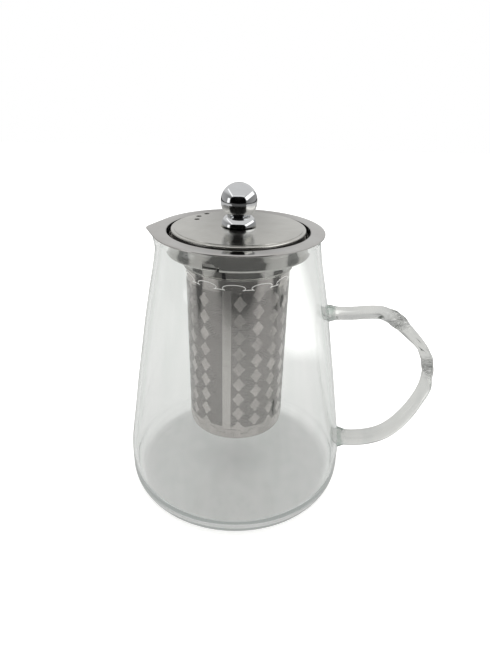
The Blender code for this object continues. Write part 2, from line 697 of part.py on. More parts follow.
def main():
    """Build every piece of the teapot."""
    clear_scene()
    glass = make_material("clear_glass", (0.88, 0.92, 0.90), 0.0, 0.03, 1.0)
    rod_glass = make_material("handle_glass", (0.84, 0.90, 0.87), 0.0, 0.04, 1.0)
    polished = make_material("polished_steel", (0.62, 0.61, 0.59), 1.0, 0.15)
    lid_steel = make_material("lid_steel", (0.64, 0.63, 0.61), 1.0, 0.18)
    etched = make_material("etched_steel", (0.55, 0.53, 0.51), 1.0, 0.30)
    plain = make_material("basket_steel", (0.58, 0.57, 0.55), 1.0, 0.25)
    chrome = make_material("knob_chrome", (0.78, 0.78, 0.78), 1.0, 0.05)
    hardware = make_material("fixing_steel", (0.50, 0.50, 0.51), 1.0, 0.30)
    build_pot(glass)
    build_handle(rod_glass)
    build_collar(polished)
    build_basket({"etched": etched, "plain": plain})
    build_studs(hardware)
    build_lid(lid_steel)
    build_knob(chrome)
    build_fixings(hardware)


main()
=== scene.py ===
"""Studio scene of a clear glass teapot with a steel infuser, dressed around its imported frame."""

import logging
import math
from collections.abc import Callable, Iterable, Sequence
from dataclasses import dataclass, field
from enum import Enum

import bmesh
import bpy
from mathutils import Matrix, Vector

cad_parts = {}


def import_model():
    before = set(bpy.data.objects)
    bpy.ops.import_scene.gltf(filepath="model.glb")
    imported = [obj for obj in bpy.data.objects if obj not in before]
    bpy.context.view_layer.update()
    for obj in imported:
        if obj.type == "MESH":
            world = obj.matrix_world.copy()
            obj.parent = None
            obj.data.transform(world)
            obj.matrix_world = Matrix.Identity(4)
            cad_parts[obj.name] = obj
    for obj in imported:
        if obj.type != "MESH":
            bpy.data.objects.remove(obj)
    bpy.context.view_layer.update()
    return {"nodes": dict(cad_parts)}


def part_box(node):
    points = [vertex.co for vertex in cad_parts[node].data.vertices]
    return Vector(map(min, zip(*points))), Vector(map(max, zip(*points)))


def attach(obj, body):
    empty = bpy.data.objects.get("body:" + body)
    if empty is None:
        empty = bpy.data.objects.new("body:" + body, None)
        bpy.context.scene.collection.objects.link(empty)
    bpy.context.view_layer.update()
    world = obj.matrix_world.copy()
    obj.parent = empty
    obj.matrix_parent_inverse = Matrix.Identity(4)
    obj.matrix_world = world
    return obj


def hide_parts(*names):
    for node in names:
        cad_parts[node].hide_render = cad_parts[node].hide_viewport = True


TAU = 2.0 * math.pi
LOG = logging.getLogger("teapot")

# How far each finish's painted shade or painted glow reaches, and where the handle's weld mark sits
WELL_SKIN = 0.00015        # past the well's inside wall
WELL_SHADE = 0.0035        # below the flange top
WINDOW_DROP = 0.006        # below the flange top, above the window
SKIRT_SKIN = 0.0015        # in from the lid ring's outside
NECK_OVERLAP = 0.0004      # above the neck's foot
LOWER_WELD_OUT = 0.011     # from the handle's inner end to its lower weld

Point = tuple[float, float]
Spot = tuple[Vector, float]
Warp = Callable[[float, float, float], float]


# ---------------------------------------------------------------- mesh helpers


def smooth_step(share: float) -> float:
    """Ease a share from 0 to 1.

    Args:
        share: Any number; it is held between 0 and 1.

    Returns:
        The eased share.
    """
    share = min(max(share, 0.0), 1.0)
    return share * share * (3.0 - 2.0 * share)


def curve_through(table: Sequence[Point], at: float) -> float:
    """Read a smooth curve through a table of positions and values.

    Args:
        table: Pairs of position and value in rising order of position.
        at: The position to read.

    Returns:
        The value there, held at both ends.
    """
    at = min(max(at, table[0][0]), table[-1][0])
    index = max(i for i in range(len(table) - 1) if table[i][0] <= at)
    span = table[index + 1][0] - table[index][0]
    t = (at - table[index][0]) / span

    def slope(i: int) -> float:
        """Slope of the curve at a row of the table."""
        low, high = max(i - 1, 0), min(i + 1, len(table) - 1)
        return (table[high][1] - table[low][1]) / (table[high][0] - table[low][0])

    start = (2 * t**3 - 3 * t**2 + 1) * table[index][1] + (t**3 - 2 * t**2 + t) * span * slope(index)
    end = (3 * t**2 - 2 * t**3) * table[index + 1][1] + (t**3 - t**2) * span * slope(index + 1)
    return start + end


def rounded(corners: Sequence[tuple[float, float, float]], steps: int = 5,
            closed: bool = True) -> list[Point]:
    """Round the corners of an outline.

    Args:
        corners: Rows of radius, height and corner rounding.
        steps: Spans across each rounded corner.
        closed: Whether the outline joins its own start.

    Returns:
        The outline with its corners rounded.
    """
    count = len(corners)
    points: list[Point] = []
    for index, (radius, height, rounding) in enumerate(corners):
        here = Vector((radius, height))
        if rounding <= 0.0 or (not closed and index in (0, count - 1)):
            points.append((radius, height))
            continue
        before = Vector(corners[index - 1][:2])
        after = Vector(corners[(index + 1) % count][:2])
        back, onward = before - here, after - here
        bend = back.angle(onward)
        reach = rounding / math.tan(bend / 2)
        reach = min(reach, 0.48 * back.length, 0.48 * onward.length)
        first, last = here + back.normalized() * reach, here + onward.normalized() * reach
        for step in range(steps + 1):
            t = step / steps
            spot = first * (1 - t) ** 2 + here * (2 * t * (1 - t)) + last * t**2
            points.append((spot.x, spot.y))
    return points


def arc(centre: Point, radius: float, start: float, end: float, steps: int) -> list[Point]:
    """Points along an arc, both ends included.

    Args:
        centre: Centre of the arc as radius and height.
        radius: Radius of the arc.
        start: First angle in degrees.
        end: Last angle in degrees.
        steps: Number of spans.

    Returns:
        The points in order.
    """
    angles = [math.radians(start + (end - start) * step / steps) for step in range(steps + 1)]
    return [(centre[0] + radius * math.cos(a), centre[1] + radius * math.sin(a)) for a in angles]


@dataclass
class Shape:
    """Plain vertices and faces that become one mesh."""

    vertices: list[Vector] = field(default_factory=list)
    faces: list[list[int]] = field(default_factory=list)

    def turned(self, matrix: Matrix) -> "Shape":
        """Return a copy carried by a matrix."""
        return Shape([matrix @ vertex for vertex in self.vertices], self.faces)

    @staticmethod
    def merged(shapes: Iterable["Shape"]) -> "Shape":
        """Return several shapes as one."""
        whole = Shape()
        for shape in shapes:
            base = len(whole.vertices)
            whole.vertices.extend(shape.vertices)
            whole.faces.extend([[base + index for index in face] for face in shape.faces])
        return whole

    @staticmethod
    def revolved(profile: Sequence[Point], segments: int, warp: Warp | None = None) -> "Shape":
        """Turn a profile about the upright axis.

        Args:
            profile: Points of radius and height; closed unless it starts on the axis.
            segments: Number of spans round the axis.
            warp: Optional change of radius at a radius, height and angle.

        Returns:
            A closed solid or ring.
        """
        shape = Shape()
        rows: list[list[int]] = []
        for radius, height in profile:
            base = len(shape.vertices)
            if radius < 1e-9:
                rows.append([base] * segments)
                shape.vertices.append(Vector((0.0, 0.0, height)))
                continue
            rows.append(list(range(base, base + segments)))
            for step in range(segments):
                angle = TAU * step / segments
                reach = warp(radius, height, angle) if warp else radius
                shape.vertices.append(Vector((reach * math.cos(angle), reach * math.sin(angle), height)))
        last = len(rows) - 1 if profile[0][0] < 1e-9 else len(rows)
        for row in range(last):
            lower, upper = rows[row], rows[(row + 1) % len(rows)]
            for step in range(segments):
                onward = (step + 1) % segments
                face = list(dict.fromkeys((lower[step], lower[onward], upper[onward], upper[step])))
                if len(face) > 2:
                    shape.faces.append(face)
        return shape

    @staticmethod
    def lofted(sections: Sequence[Sequence[Vector]]) -> "Shape":
        """Skin a solid over closed sections of equal length."""
        sides = len(sections[0])
        shape = Shape([point.copy() for section in sections for point in section])
        for row in range(len(sections) - 1):
            base = row * sides
            for side in range(sides):
                onward = (side + 1) % sides
                shape.faces.append([base + side, base + onward, base + sides + onward, base + sides + side])
        last = (len(sections) - 1) * sides
        shape.faces.append(list(range(sides)))
        shape.faces.append(list(range(last, last + sides)))
        return shape

    def to_object(self, name: str, material: bpy.types.Material | None = None,
                  sharp: float = 40.0) -> bpy.types.Object:
        """Make a closed, outward-facing, smooth-shaded object.

        Args:
            name: Name of the object.
            material: Material of every face.
            sharp: Edges that bend more than this many degrees stay crisp.

        Returns:
            The new object, linked into the scene.
        """
        mesh = bpy.data.meshes.new(name)
        mesh.from_pydata([tuple(vertex) for vertex in self.vertices], [], self.faces)
        shell = bmesh.new()
        shell.from_mesh(mesh)
        bmesh.ops.recalc_face_normals(shell, faces=shell.faces)
        shell.to_mesh(mesh)
        shell.free()
        mesh.shade_smooth()
        mesh.set_sharp_from_angle(angle=math.radians(sharp))
        if material:
            mesh.materials.append(material)
        item = bpy.data.objects.new(name, mesh)
        bpy.context.scene.collection.objects.link(item)
        return item


def settled(item: bpy.types.Object) -> bpy.types.Object:
    """Turn an object's modifiers into plain mesh.

    Args:
        item: Object with modifiers.

    Returns:
        The same object with its finished mesh and no modifiers.
    """
    bpy.context.view_layer.update()
    graph = bpy.context.evaluated_depsgraph_get()
    mesh = bpy.data.meshes.new_from_object(item.evaluated_get(graph), depsgraph=graph)
    mesh.name = item.name
    item.modifiers.clear()
    item.data = mesh
    return item


def drilled(item: bpy.types.Object, cutters: Sequence[Shape]) -> bpy.types.Object:
    """Cut shapes out of an object and settle the result.

    Args:
        item: Object to cut.
        cutters: Closed shapes to take away.

    Returns:
        The cut object.
    """
    spare = []
    for index, shape in enumerate(cutters):
        cutter = shape.to_object(f"{item.name}_cutter_{index}")
        boolean = item.modifiers.new(cutter.name, "BOOLEAN")
        boolean.operation = "DIFFERENCE"
        boolean.solver = "EXACT"
        boolean.object = cutter
        spare.append(cutter)
    settled(item)
    for cutter in spare:
        bpy.data.objects.remove(cutter, do_unlink=True)
    item.data.set_sharp_from_angle(angle=math.radians(30.0))
    return item


# ---------------------------------------------------------------- node helpers


class Sheet:
    """Short words for wiring a node tree."""

    def __init__(self, tree: bpy.types.NodeTree) -> None:
        """Keep the tree that the nodes go into."""
        self.tree = tree

    def add(self, kind: str, **settings: object) -> bpy.types.Node:
        """Add a node and set its properties."""
        node = self.tree.nodes.new(kind)
        for name, value in settings.items():
            setattr(node, name, value)
        return node

    def feed(self, socket: bpy.types.NodeSocket, value: object) -> None:
        """Link a socket or set its value."""
        if isinstance(value, bpy.types.NodeSocket):
            self.tree.links.new(value, socket)
        elif value is not None:
            socket.default_value = value

    def math(self, operation: str, first: object, second: object = None,
             third: object = None) -> bpy.types.NodeSocket:
        """Add a maths node and return its result."""
        node = self.add("ShaderNodeMath", operation=operation)
        for socket, value in zip(node.inputs, (first, second, third)):
            self.feed(socket, value)
        return node.outputs[0]

    def plus(self, first: object, second: object) -> bpy.types.NodeSocket:
        """Add two numbers."""
        return self.math("ADD", first, second)

    def minus(self, first: object, second: object) -> bpy.types.NodeSocket:
        """Take the second number from the first."""
        return self.math("SUBTRACT", first, second)

    def times(self, first: object, second: object) -> bpy.types.NodeSocket:
        """Multiply two numbers."""
        return self.math("MULTIPLY", first, second)

    def over(self, first: object, second: object) -> bpy.types.NodeSocket:
        """Divide the first number by the second."""
        return self.math("DIVIDE", first, second)

    def larger(self, first: object, second: object) -> bpy.types.NodeSocket:
        """Return the larger of two numbers."""
        return self.math("MAXIMUM", first, second)

    def smaller(self, first: object, second: object) -> bpy.types.NodeSocket:
        """Return the smaller of two numbers."""
        return self.math("MINIMUM", first, second)

    def above(self, first: object, second: object) -> bpy.types.NodeSocket:
        """Return 1 where the first number is above the second."""
        return self.math("GREATER_THAN", first, second)

    def below(self, first: object, second: object) -> bpy.types.NodeSocket:
        """Return 1 where the first number is below the second."""
        return self.math("LESS_THAN", first, second)

    def noise(self, vector: object, scale: float, detail: float = 3.0,
              rough: float = 0.5) -> bpy.types.NodeSocket:
        """Add a noise texture and return its strength."""
        node = self.add("ShaderNodeTexNoise")
        self.feed(node.inputs["Vector"], vector)
        node.inputs["Scale"].default_value = scale
        node.inputs["Detail"].default_value = detail
        node.inputs["Roughness"].default_value = rough
        return node.outputs[0]

    def spread(self, value: object, low: float, high: float, out_low: float = 0.0,
               out_high: float = 1.0) -> bpy.types.NodeSocket:
        """Map a range of numbers onto another and hold it there."""
        node = self.add("ShaderNodeMapRange")
        for socket, number in zip(node.inputs, (value, low, high, out_low, out_high)):
            self.feed(socket, number)
        return node.outputs[0]

    def blend(self, factor: object, first: object, second: object) -> bpy.types.NodeSocket:
        """Mix two colours."""
        node = self.add("ShaderNodeMix", data_type="RGBA")
        self.feed(node.inputs[0], factor)
        self.feed(node.inputs[6], first)
        self.feed(node.inputs[7], second)
        return node.outputs[2]

    def between(self, factor: object, first: object, second: object) -> bpy.types.NodeSocket:
        """Mix two numbers."""
        node = self.add("ShaderNodeMix", data_type="FLOAT")
        self.feed(node.inputs[0], factor)
        self.feed(node.inputs[2], first)
        self.feed(node.inputs[3], second)
        return node.outputs[0]

    def parts(self, vector: object) -> tuple[bpy.types.NodeSocket, ...]:
        """Return the three parts of a vector."""
        node = self.add("ShaderNodeSeparateXYZ")
        self.feed(node.inputs[0], vector)
        return tuple(node.outputs)

    def opposite(self, share: object) -> bpy.types.NodeSocket:
        """Return what is left of a share of 1."""
        return self.math("SUBTRACT", 1.0, share)

    def stretched(self, vector: object, scale: tuple[float, float, float]) -> bpy.types.NodeSocket:
        """Scale a vector along its axes."""
        node = self.add("ShaderNodeMapping")
        self.feed(node.inputs["Vector"], vector)
        node.inputs["Scale"].default_value = scale
        return node.outputs[0]

    def bump(self, height: object, distance: float) -> bpy.types.NodeSocket:
        """Add a full-strength bump of a real depth and return the new normal."""
        node = self.add("ShaderNodeBump")
        self.feed(node.inputs["Height"], height)
        node.inputs["Distance"].default_value = distance
        node.inputs["Strength"].default_value = 1.0
        return node.outputs[0]


@dataclass
class Surface:
    """A material being built: its sheet, its shader and the coordinates it reads."""

    name: str

    def __post_init__(self) -> None:
        """Make the material and its fixed nodes."""
        self.material = bpy.data.materials.new(self.name)
        self.material.use_nodes = True
        self.sheet = Sheet(self.material.node_tree)
        self.shader = self.material.node_tree.nodes["Principled BSDF"]
        self.place = self.sheet.add("ShaderNodeTexCoord").outputs["Object"]

    def set(self, **values: object) -> None:
        """Feed the shader's sockets, with underscores for spaces in their names."""
        for name, value in values.items():
            self.sheet.feed(self.shader.inputs[name.replace("_", " ")], value)

    def round_axis(self) -> tuple[bpy.types.NodeSocket, bpy.types.NodeSocket, bpy.types.NodeSocket]:
        """Return angle, distance from the upright axis and height of the shaded point."""
        x, y, z = self.sheet.parts(self.place)
        angle = self.sheet.math("ARCTAN2", y, x)
        squares = self.sheet.plus(self.sheet.times(x, x), self.sheet.times(y, y))
        return angle, self.sheet.math("SQRT", squares), z


Colour = tuple[float, float, float]


def paint(colour: Colour) -> tuple[float, float, float, float]:
    """Return a colour with full alpha."""
    return (*colour, 1.0)


def diamond_lattice(sheet: Sheet, share: object, rise: object, cell: object, pitch: object, half_width: object,
                    half_height: object) -> tuple[bpy.types.NodeSocket, bpy.types.NodeSocket]:
    """Lay staggered diamonds on columns and rows.

    Args:
        sheet: The tree to build in.
        share: Place round the sleeve, in columns.
        rise: Place up the sleeve, in rows.
        cell: Width of one column.
        pitch: Height of one row.
        half_width: Half a diamond's width.
        half_height: Half a diamond's height.

    Returns:
        The column's number, and how far out of its diamond a place is: 1 on the edge.
    """
    column = sheet.math("FLOOR", share)
    across = sheet.math("ABSOLUTE", sheet.times(sheet.minus(sheet.math("FRACT", share), 0.5), cell))
    odd = sheet.times(sheet.math("MODULO", column, 2.0), 0.5)
    along = sheet.minus(sheet.math("FRACT", sheet.plus(rise, odd)), 0.5)
    along = sheet.math("ABSOLUTE", sheet.times(along, pitch))
    return column, sheet.plus(sheet.over(across, half_width), sheet.over(along, half_height))


# ---------------------------------------------------------------- finishes


class Grain(Enum):
    """How a steel surface was worked."""

    MIRROR = "mirror"
    SPUN = "spun"
    ROLLED = "rolled"


@dataclass(frozen=True)
class Glass:
    """Clear blown or drawn glass."""

    name: str
    tint: Colour
    deep_tint: Colour
    ripple: float
    # edge: painted shade, the colour the glass darkens to at grazing angles
    edge: Colour
    # trapped_glow: colour of a painted glow from rays caught between the glass walls
    trapped_glow: Colour = (0.34, 0.36, 0.35)
    roughness: float = 0.0
    # twist_shade_spots: where painted shade is streaked over the handle's twists
    twist_shade_spots: tuple[Spot, ...] = ()
    joints: tuple[Spot, ...] = ()

    def near(self, surface: Surface, spots: tuple[Spot, ...]) -> bpy.types.NodeSocket:
        """Return 1 at any of some spots, fading to 0 at each one's reach."""
        sheet = surface.sheet
        mask = 0.0
        for spot, reach in spots:
            gap = sheet.add("ShaderNodeVectorMath", operation="DISTANCE")
            sheet.feed(gap.inputs[0], surface.place)
            gap.inputs[1].default_value = spot
            mask = sheet.larger(mask, sheet.spread(gap.outputs["Value"], reach * 0.35, reach, 1.0, 0.0))
        return mask

    def build(self) -> bpy.types.Material:
        """Return the glass material with its faint unevenness, painted shade at grazing edges and over the
        handle's twists, and a painted glow inside its walls.
        """
        surface = Surface(self.name)
        sheet = surface.sheet
        soft = sheet.noise(sheet.stretched(surface.place, (1.0, 1.0, 0.45)), 38.0, 2.0)
        fine = sheet.noise(surface.place, 260.0, 2.0)
        height = sheet.plus(soft, sheet.times(fine, 0.06))
        veil = sheet.noise(sheet.stretched(surface.place, (110.0, 110.0, 9.0)), 1.0, 2.0)
        colour = sheet.blend(sheet.spread(veil, 0.38, 0.68), paint(self.tint), paint(self.deep_tint))
        # Painted shade: darker towards the edge colour at grazing angles
        grazing_shade = sheet.add("ShaderNodeLayerWeight")
        colour = sheet.blend(sheet.spread(grazing_shade.outputs["Facing"], 0.72, 0.97), colour, paint(self.edge))
        # Painted shade in dark streaks over the twists, with a real bump there too
        if self.twist_shade_spots:
            streak = sheet.noise(sheet.stretched(surface.place, (260.0, 420.0, 900.0)), 1.0, 3.0, 0.6)
            streak = sheet.spread(streak, 0.42, 0.60)
            fold = sheet.times(self.near(surface, self.twist_shade_spots), streak)
            colour = sheet.blend(fold, colour, (0.10, 0.10, 0.10, 1.0))
            height = sheet.plus(height, sheet.times(fold, 2.0))
        if self.joints:
            blot = sheet.spread(sheet.noise(surface.place, 320.0, 2.0), 0.46, 0.56)
            weld = sheet.times(self.near(surface, self.joints), blot)
            colour = sheet.blend(weld, colour, (0.13, 0.23, 0.18, 1.0))
        # Painted glow: emission for rays caught between the glass walls
        path = sheet.add("ShaderNodeLightPath")
        entered = sheet.plus(sheet.math("COMPARE", path.outputs["Transmission Depth"], 1.0, 0.5),
                             sheet.math("COMPARE", path.outputs["Transmission Depth"], 3.0, 0.5))
        trapped = sheet.times(entered, sheet.math("COMPARE", path.outputs["Glossy Depth"], 2.0, 0.5))
        surface.set(Base_Color=colour, Transmission_Weight=1.0, Roughness=self.roughness, IOR=1.47,
                    Normal=sheet.bump(height, self.ripple), Emission_Color=paint(self.trapped_glow),
                    Emission_Strength=trapped)
        return surface.material


@dataclass(frozen=True)
class Steel:
    """Stainless steel in one of its worked grains."""

    name: str
    colour: Colour
    stain: Colour
    roughness: float
    grain: Grain
    depth: float = 0.000004
    # glow is the strength of a painted glow below glow_below; shaded_within and shaded_above bound a painted
    # near-black shade
    glow: float = 0.0
    glow_below: float = 1.0
    shaded_within: float = 0.0
    shaded_above: float = 0.0

    def grain_height(self, surface: Surface) -> bpy.types.NodeSocket:
        """Return the fine relief left by the tool."""
        sheet = surface.sheet
        if self.grain is Grain.MIRROR:
            return sheet.noise(surface.place, 900.0, 3.0)
        angle, reach, height = surface.round_axis()
        spot = sheet.add("ShaderNodeCombineXYZ")
        if self.grain is Grain.SPUN:
            sheet.feed(spot.inputs[0], sheet.times(reach, 3200.0))
            sheet.feed(spot.inputs[1], sheet.times(angle, 1.5))
            sheet.feed(spot.inputs[2], sheet.times(height, 3200.0))
        else:
            sheet.feed(spot.inputs[0], sheet.times(angle, 8.0))
            sheet.feed(spot.inputs[1], sheet.times(height, 4200.0))
        return sheet.noise(spot.outputs[0], 1.0, 3.0, 0.6)

    def build(self) -> bpy.types.Material:
        """Return the steel material with its grain, smears and handling marks, and any painted shade zone and
        painted glow.
        """
        surface = Surface(self.name)
        sheet = surface.sheet
        smear = sheet.noise(sheet.stretched(surface.place, (1.0, 1.0, 2.0)), 70.0, 4.0, 0.6)
        relief = self.grain_height(surface)
        rough = sheet.plus(sheet.spread(smear, 0.35, 0.75, self.roughness * 0.8, self.roughness * 1.35),
                           sheet.times(relief, self.roughness * 0.25))
        colour = sheet.blend(sheet.spread(smear, 0.40, 0.80), paint(self.colour), paint(self.stain))
        _, reach, height = surface.round_axis()
        # Painted shade: near-black and rougher inside a radius and above a height
        if self.shaded_within:
            shaded = sheet.times(sheet.below(reach, self.shaded_within),
                                 sheet.above(height, self.shaded_above))
            colour = sheet.blend(shaded, colour, (0.015, 0.015, 0.015, 1.0))
            rough = sheet.larger(rough, sheet.times(shaded, 0.6))
        surface.set(Base_Color=colour, Metallic=1.0, Roughness=rough, Normal=sheet.bump(relief, self.depth))
        # Painted glow: emission below a height, outside the shaded radius
        if self.glow:
            lit = sheet.times(sheet.below(height, self.glow_below), self.glow)
            outside = sheet.above(reach, self.shaded_within)
            surface.set(Emission_Color=paint(self.colour), Emission_Strength=sheet.times(lit, outside))
        return surface.material


@dataclass(frozen=True)
class EtchedSteel:
    """Polished sheet etched with columns of hatched diamonds."""

    name: str
    colour: Colour
    dark: Colour
    columns: int
    pitch: float
    diamond_width: float
    diamond_height: float
    low: float
    high: float
    turn: float
    radius: float
    # slit_shade_above: height above which the sleeve is painted near-black as shade, seen through the collar's
    # slit
    slit_shade_above: float
    plain_column: int

    def diamond_mask(self, surface: Surface) -> tuple[bpy.types.NodeSocket, bpy.types.NodeSocket]:
        """Return the diamond mask and the mask of the whole patterned field."""
        sheet = surface.sheet
        angle, _, height = surface.round_axis()
        share = sheet.over(sheet.plus(angle, TAU - self.turn), TAU / self.columns)
        rise = sheet.over(sheet.minus(height, self.low), self.pitch)
        cell = TAU / self.columns * self.radius
        column, far = diamond_lattice(sheet, share, rise, cell, self.pitch, self.diamond_width / 2,
                                      self.diamond_height / 2)
        diamond = sheet.spread(far, 0.99, 1.04, 1.0, 0.0)
        plain = sheet.math("COMPARE", column, float(self.plain_column), 0.5)
        diamond = sheet.times(diamond, sheet.minus(1.0, plain))
        inside = sheet.times(sheet.above(height, self.low), sheet.below(height, self.high))
        return sheet.times(diamond, inside), inside

    def build(self) -> bpy.types.Material:
        """Return the etched material, painted near-black as shade above a given height."""
        surface = Surface(self.name)
        sheet = surface.sheet
        angle, _, height = surface.round_axis()
        diamond, field_mask = self.diamond_mask(surface)
        # Painted shade: near-black and rougher above that height, behind the collar's neck
        slit_shade = sheet.above(height, self.slit_shade_above)
        slant = sheet.plus(sheet.times(angle, self.radius), height)
        hatch = sheet.math("SINE", sheet.times(slant, TAU / 0.00075))
        smear = sheet.noise(surface.place, 60.0, 4.0, 0.6)
        etched = sheet.times(field_mask, sheet.minus(1.0, diamond))
        plain = sheet.blend(sheet.spread(smear, 0.4, 0.8), paint(self.colour), paint(self.dark))
        colour = sheet.blend(sheet.times(etched, 0.9), plain, paint(self.dark))
        colour = sheet.blend(slit_shade, colour, (0.02, 0.02, 0.02, 1.0))
        rough = sheet.plus(sheet.spread(smear, 0.3, 0.8, 0.05, 0.10), sheet.times(etched, 0.03))
        rough = sheet.plus(rough, sheet.times(diamond, 0.04))
        rough = sheet.plus(rough, sheet.times(slit_shade, 0.5))
        relief = sheet.times(sheet.times(hatch, diamond), 0.5)
        relief = sheet.plus(relief, sheet.times(diamond, 1.0))
        surface.set(Base_Color=colour, Metallic=1.0, Roughness=rough, Normal=sheet.bump(relief, 0.00003))
        return surface.material


# ---------------------------------------------------------------- geometry nodes


class GeoTree:
    """A Geometry Nodes tree with named inputs, built in code."""

    def __init__(self, name: str, inputs: Sequence[tuple[str, str, object]]) -> None:
        """Make the tree and its group sockets.

        Args:
            name: Name of the tree.
            inputs: Rows of socket name, socket type and starting value.
        """
        self.tree = bpy.data.node_groups.new(name, "GeometryNodeTree")
        face = self.tree.interface
        face.new_socket("Geometry", in_out="INPUT", socket_type="NodeSocketGeometry")
        face.new_socket("Geometry", in_out="OUTPUT", socket_type="NodeSocketGeometry")
        self.sockets: dict[str, str] = {}
        for label, kind, value in inputs:
            socket = face.new_socket(label, in_out="INPUT", socket_type=kind)
            if value is not None:
                socket.default_value = value
            self.sockets[label] = socket.identifier
        self.sheet = Sheet(self.tree)
        self.source = self.sheet.add("NodeGroupInput")
        self.sink = self.sheet.add("NodeGroupOutput")

    def value(self, label: str) -> bpy.types.NodeSocket:
        """Return one of the named inputs."""
        return self.source.outputs[label]

    def node(self, kind: str, feeds: dict[str, object] | None = None, **settings: object) -> bpy.types.Node:
        """Add a node, set its properties and feed its sockets by name."""
        made = self.sheet.add(kind, **settings)
        for label, value in (feeds or {}).items():
            self.sheet.feed(made.inputs[label], value)
        return made

    def finish(self, geometry: bpy.types.NodeSocket) -> None:
        """End the tree in Realize Instances and Set Material."""
        real = self.node("GeometryNodeRealizeInstances", {"Geometry": geometry})
        dressed = self.node("GeometryNodeSetMaterial", {"Geometry": real.outputs[0],
                                                        "Material": self.value("Material")})
        self.sheet.feed(self.sink.inputs["Geometry"], dressed.outputs[0])

    def grow(self, name: str, values: dict[str, object]) -> bpy.types.Object:
        """Run the tree and return its result as a plain mesh object.

        Args:
            name: Name of the new object.
            values: Values for the named inputs.

        Returns:
            The finished object, with no modifier left on it.
        """
        item = bpy.data.objects.new(name, bpy.data.meshes.new(name))
        bpy.context.scene.collection.objects.link(item)
        modifier = item.modifiers.new(name, "NODES")
        modifier.node_group = self.tree
        for label, value in values.items():
            modifier[self.sockets[label]] = value
        return settled(item)


def wrap_tree() -> GeoTree:
    """Build the tree that sets a field of dark slot bars round a tapered sleeve, painted shade where open
    slots would be.

    Returns:
        A tree whose slots are laid out flat, thinned out over the diamonds and the seam, then
        wrapped round the upright axis.
    """
    tree = GeoTree("slot_field", [("Columns", "NodeSocketInt", 18), ("Plain Column", "NodeSocketInt", 8),
                                  ("Slots Per Column", "NodeSocketInt", 6), ("Rows", "NodeSocketInt", 80),
                                  ("Row Pitch", "NodeSocketFloat", 0.0009),
                                  ("Slot Length", "NodeSocketFloat", 0.0013),
                                  ("Slot Height", "NodeSocketFloat", 0.0003),
                                  ("Wall", "NodeSocketFloat", 0.0005), ("Radius", "NodeSocketFloat", 0.0255),
                                  ("Taper", "NodeSocketFloat", 0.005), ("Low", "NodeSocketFloat", 0.04),
                                  ("Turn", "NodeSocketFloat", 0.0), ("Foot", "NodeSocketFloat", 0.035),
                                  ("Pitch", "NodeSocketFloat", 0.0088),
                                  ("Diamond Width", "NodeSocketFloat", 0.0055),
                                  ("Diamond Height", "NodeSocketFloat", 0.008),
                                  ("Seam Low", "NodeSocketFloat", 0.0),
                                  ("Seam High", "NodeSocketFloat", 0.1),
                                  ("Material", "NodeSocketMaterial", None)])
    sheet = tree.sheet
    value = tree.value
    around = sheet.times(value("Columns"), value("Slots Per Column"))
    points = tree.node("GeometryNodeMeshLine", {"Count": sheet.times(around, value("Rows"))})
    index = tree.node("GeometryNodeInputIndex").outputs[0]
    row = sheet.math("FLOOR", sheet.over(sheet.plus(index, 0.5), around))
    step = sheet.minus(index, sheet.times(row, around))
    angle = sheet.over(sheet.times(sheet.plus(step, 0.5), TAU), around)
    height = sheet.plus(value("Low"), sheet.times(sheet.plus(row, 0.5), value("Row Pitch")))
    share = sheet.over(angle, sheet.over(TAU, value("Columns")))
    rise = sheet.over(sheet.minus(height, value("Low")), value("Pitch"))
    cell = sheet.over(sheet.times(TAU, value("Radius")), value("Columns"))
    wide = sheet.plus(sheet.over(value("Diamond Width"), 2.0), sheet.times(value("Slot Length"), 0.30))
    tall = sheet.times(value("Diamond Height"), 0.53)
    column, far = diamond_lattice(sheet, share, rise, cell, value("Pitch"), wide, tall)
    patterned = sheet.minus(1.0, sheet.math("COMPARE", column, value("Plain Column"), 0.5))
    in_diamond = sheet.times(sheet.below(far, 1.0), patterned)
    in_seam = sheet.times(sheet.above(angle, value("Seam Low")), sheet.below(angle, value("Seam High")))
    drop = sheet.larger(in_diamond, in_seam)
    flat = tree.node("ShaderNodeCombineXYZ", {"X": sheet.times(angle, value("Radius")), "Y": height})
    placed = tree.node("GeometryNodeSetPosition", {"Geometry": points.outputs[0],
                                                   "Position": flat.outputs[0]})
    kept = tree.node("GeometryNodeDeleteGeometry", {"Geometry": placed.outputs[0], "Selection": drop})
    size = tree.node("ShaderNodeCombineXYZ", {"X": value("Slot Length"), "Y": value("Slot Height"),
                                              "Z": sheet.plus(value("Wall"), 0.00006)})
    bar = tree.node("GeometryNodeMeshCube", {"Size": size.outputs[0]})
    sown = tree.node("GeometryNodeInstanceOnPoints", {"Points": kept.outputs[0], "Instance": bar.outputs[0]})
    real = tree.node("GeometryNodeRealizeInstances", {"Geometry": sown.outputs[0]})
    spot = tree.node("ShaderNodeSeparateXYZ", {0: tree.node("GeometryNodeInputPosition").outputs[0]})
    lean = sheet.times(sheet.minus(spot.outputs[1], value("Foot")), value("Taper"))
    reach = sheet.plus(sheet.plus(value("Radius"), lean), sheet.minus(spot.outputs[2],
                                                                      sheet.times(value("Wall"), 0.5)))
    bend = sheet.plus(sheet.over(spot.outputs[0], value("Radius")), value("Turn"))
    curled = tree.node("ShaderNodeCombineXYZ", {"X": sheet.times(reach, sheet.math("COSINE", bend)),
                                                "Y": sheet.times(reach, sheet.math("SINE", bend)),
                                                "Z": spot.outputs[1]})
    wrapped = tree.node("GeometryNodeSetPosition", {"Geometry": real.outputs[0],
                                                    "Position": curled.outputs[0]})
    tree.finish(wrapped.outputs[0])
    return tree


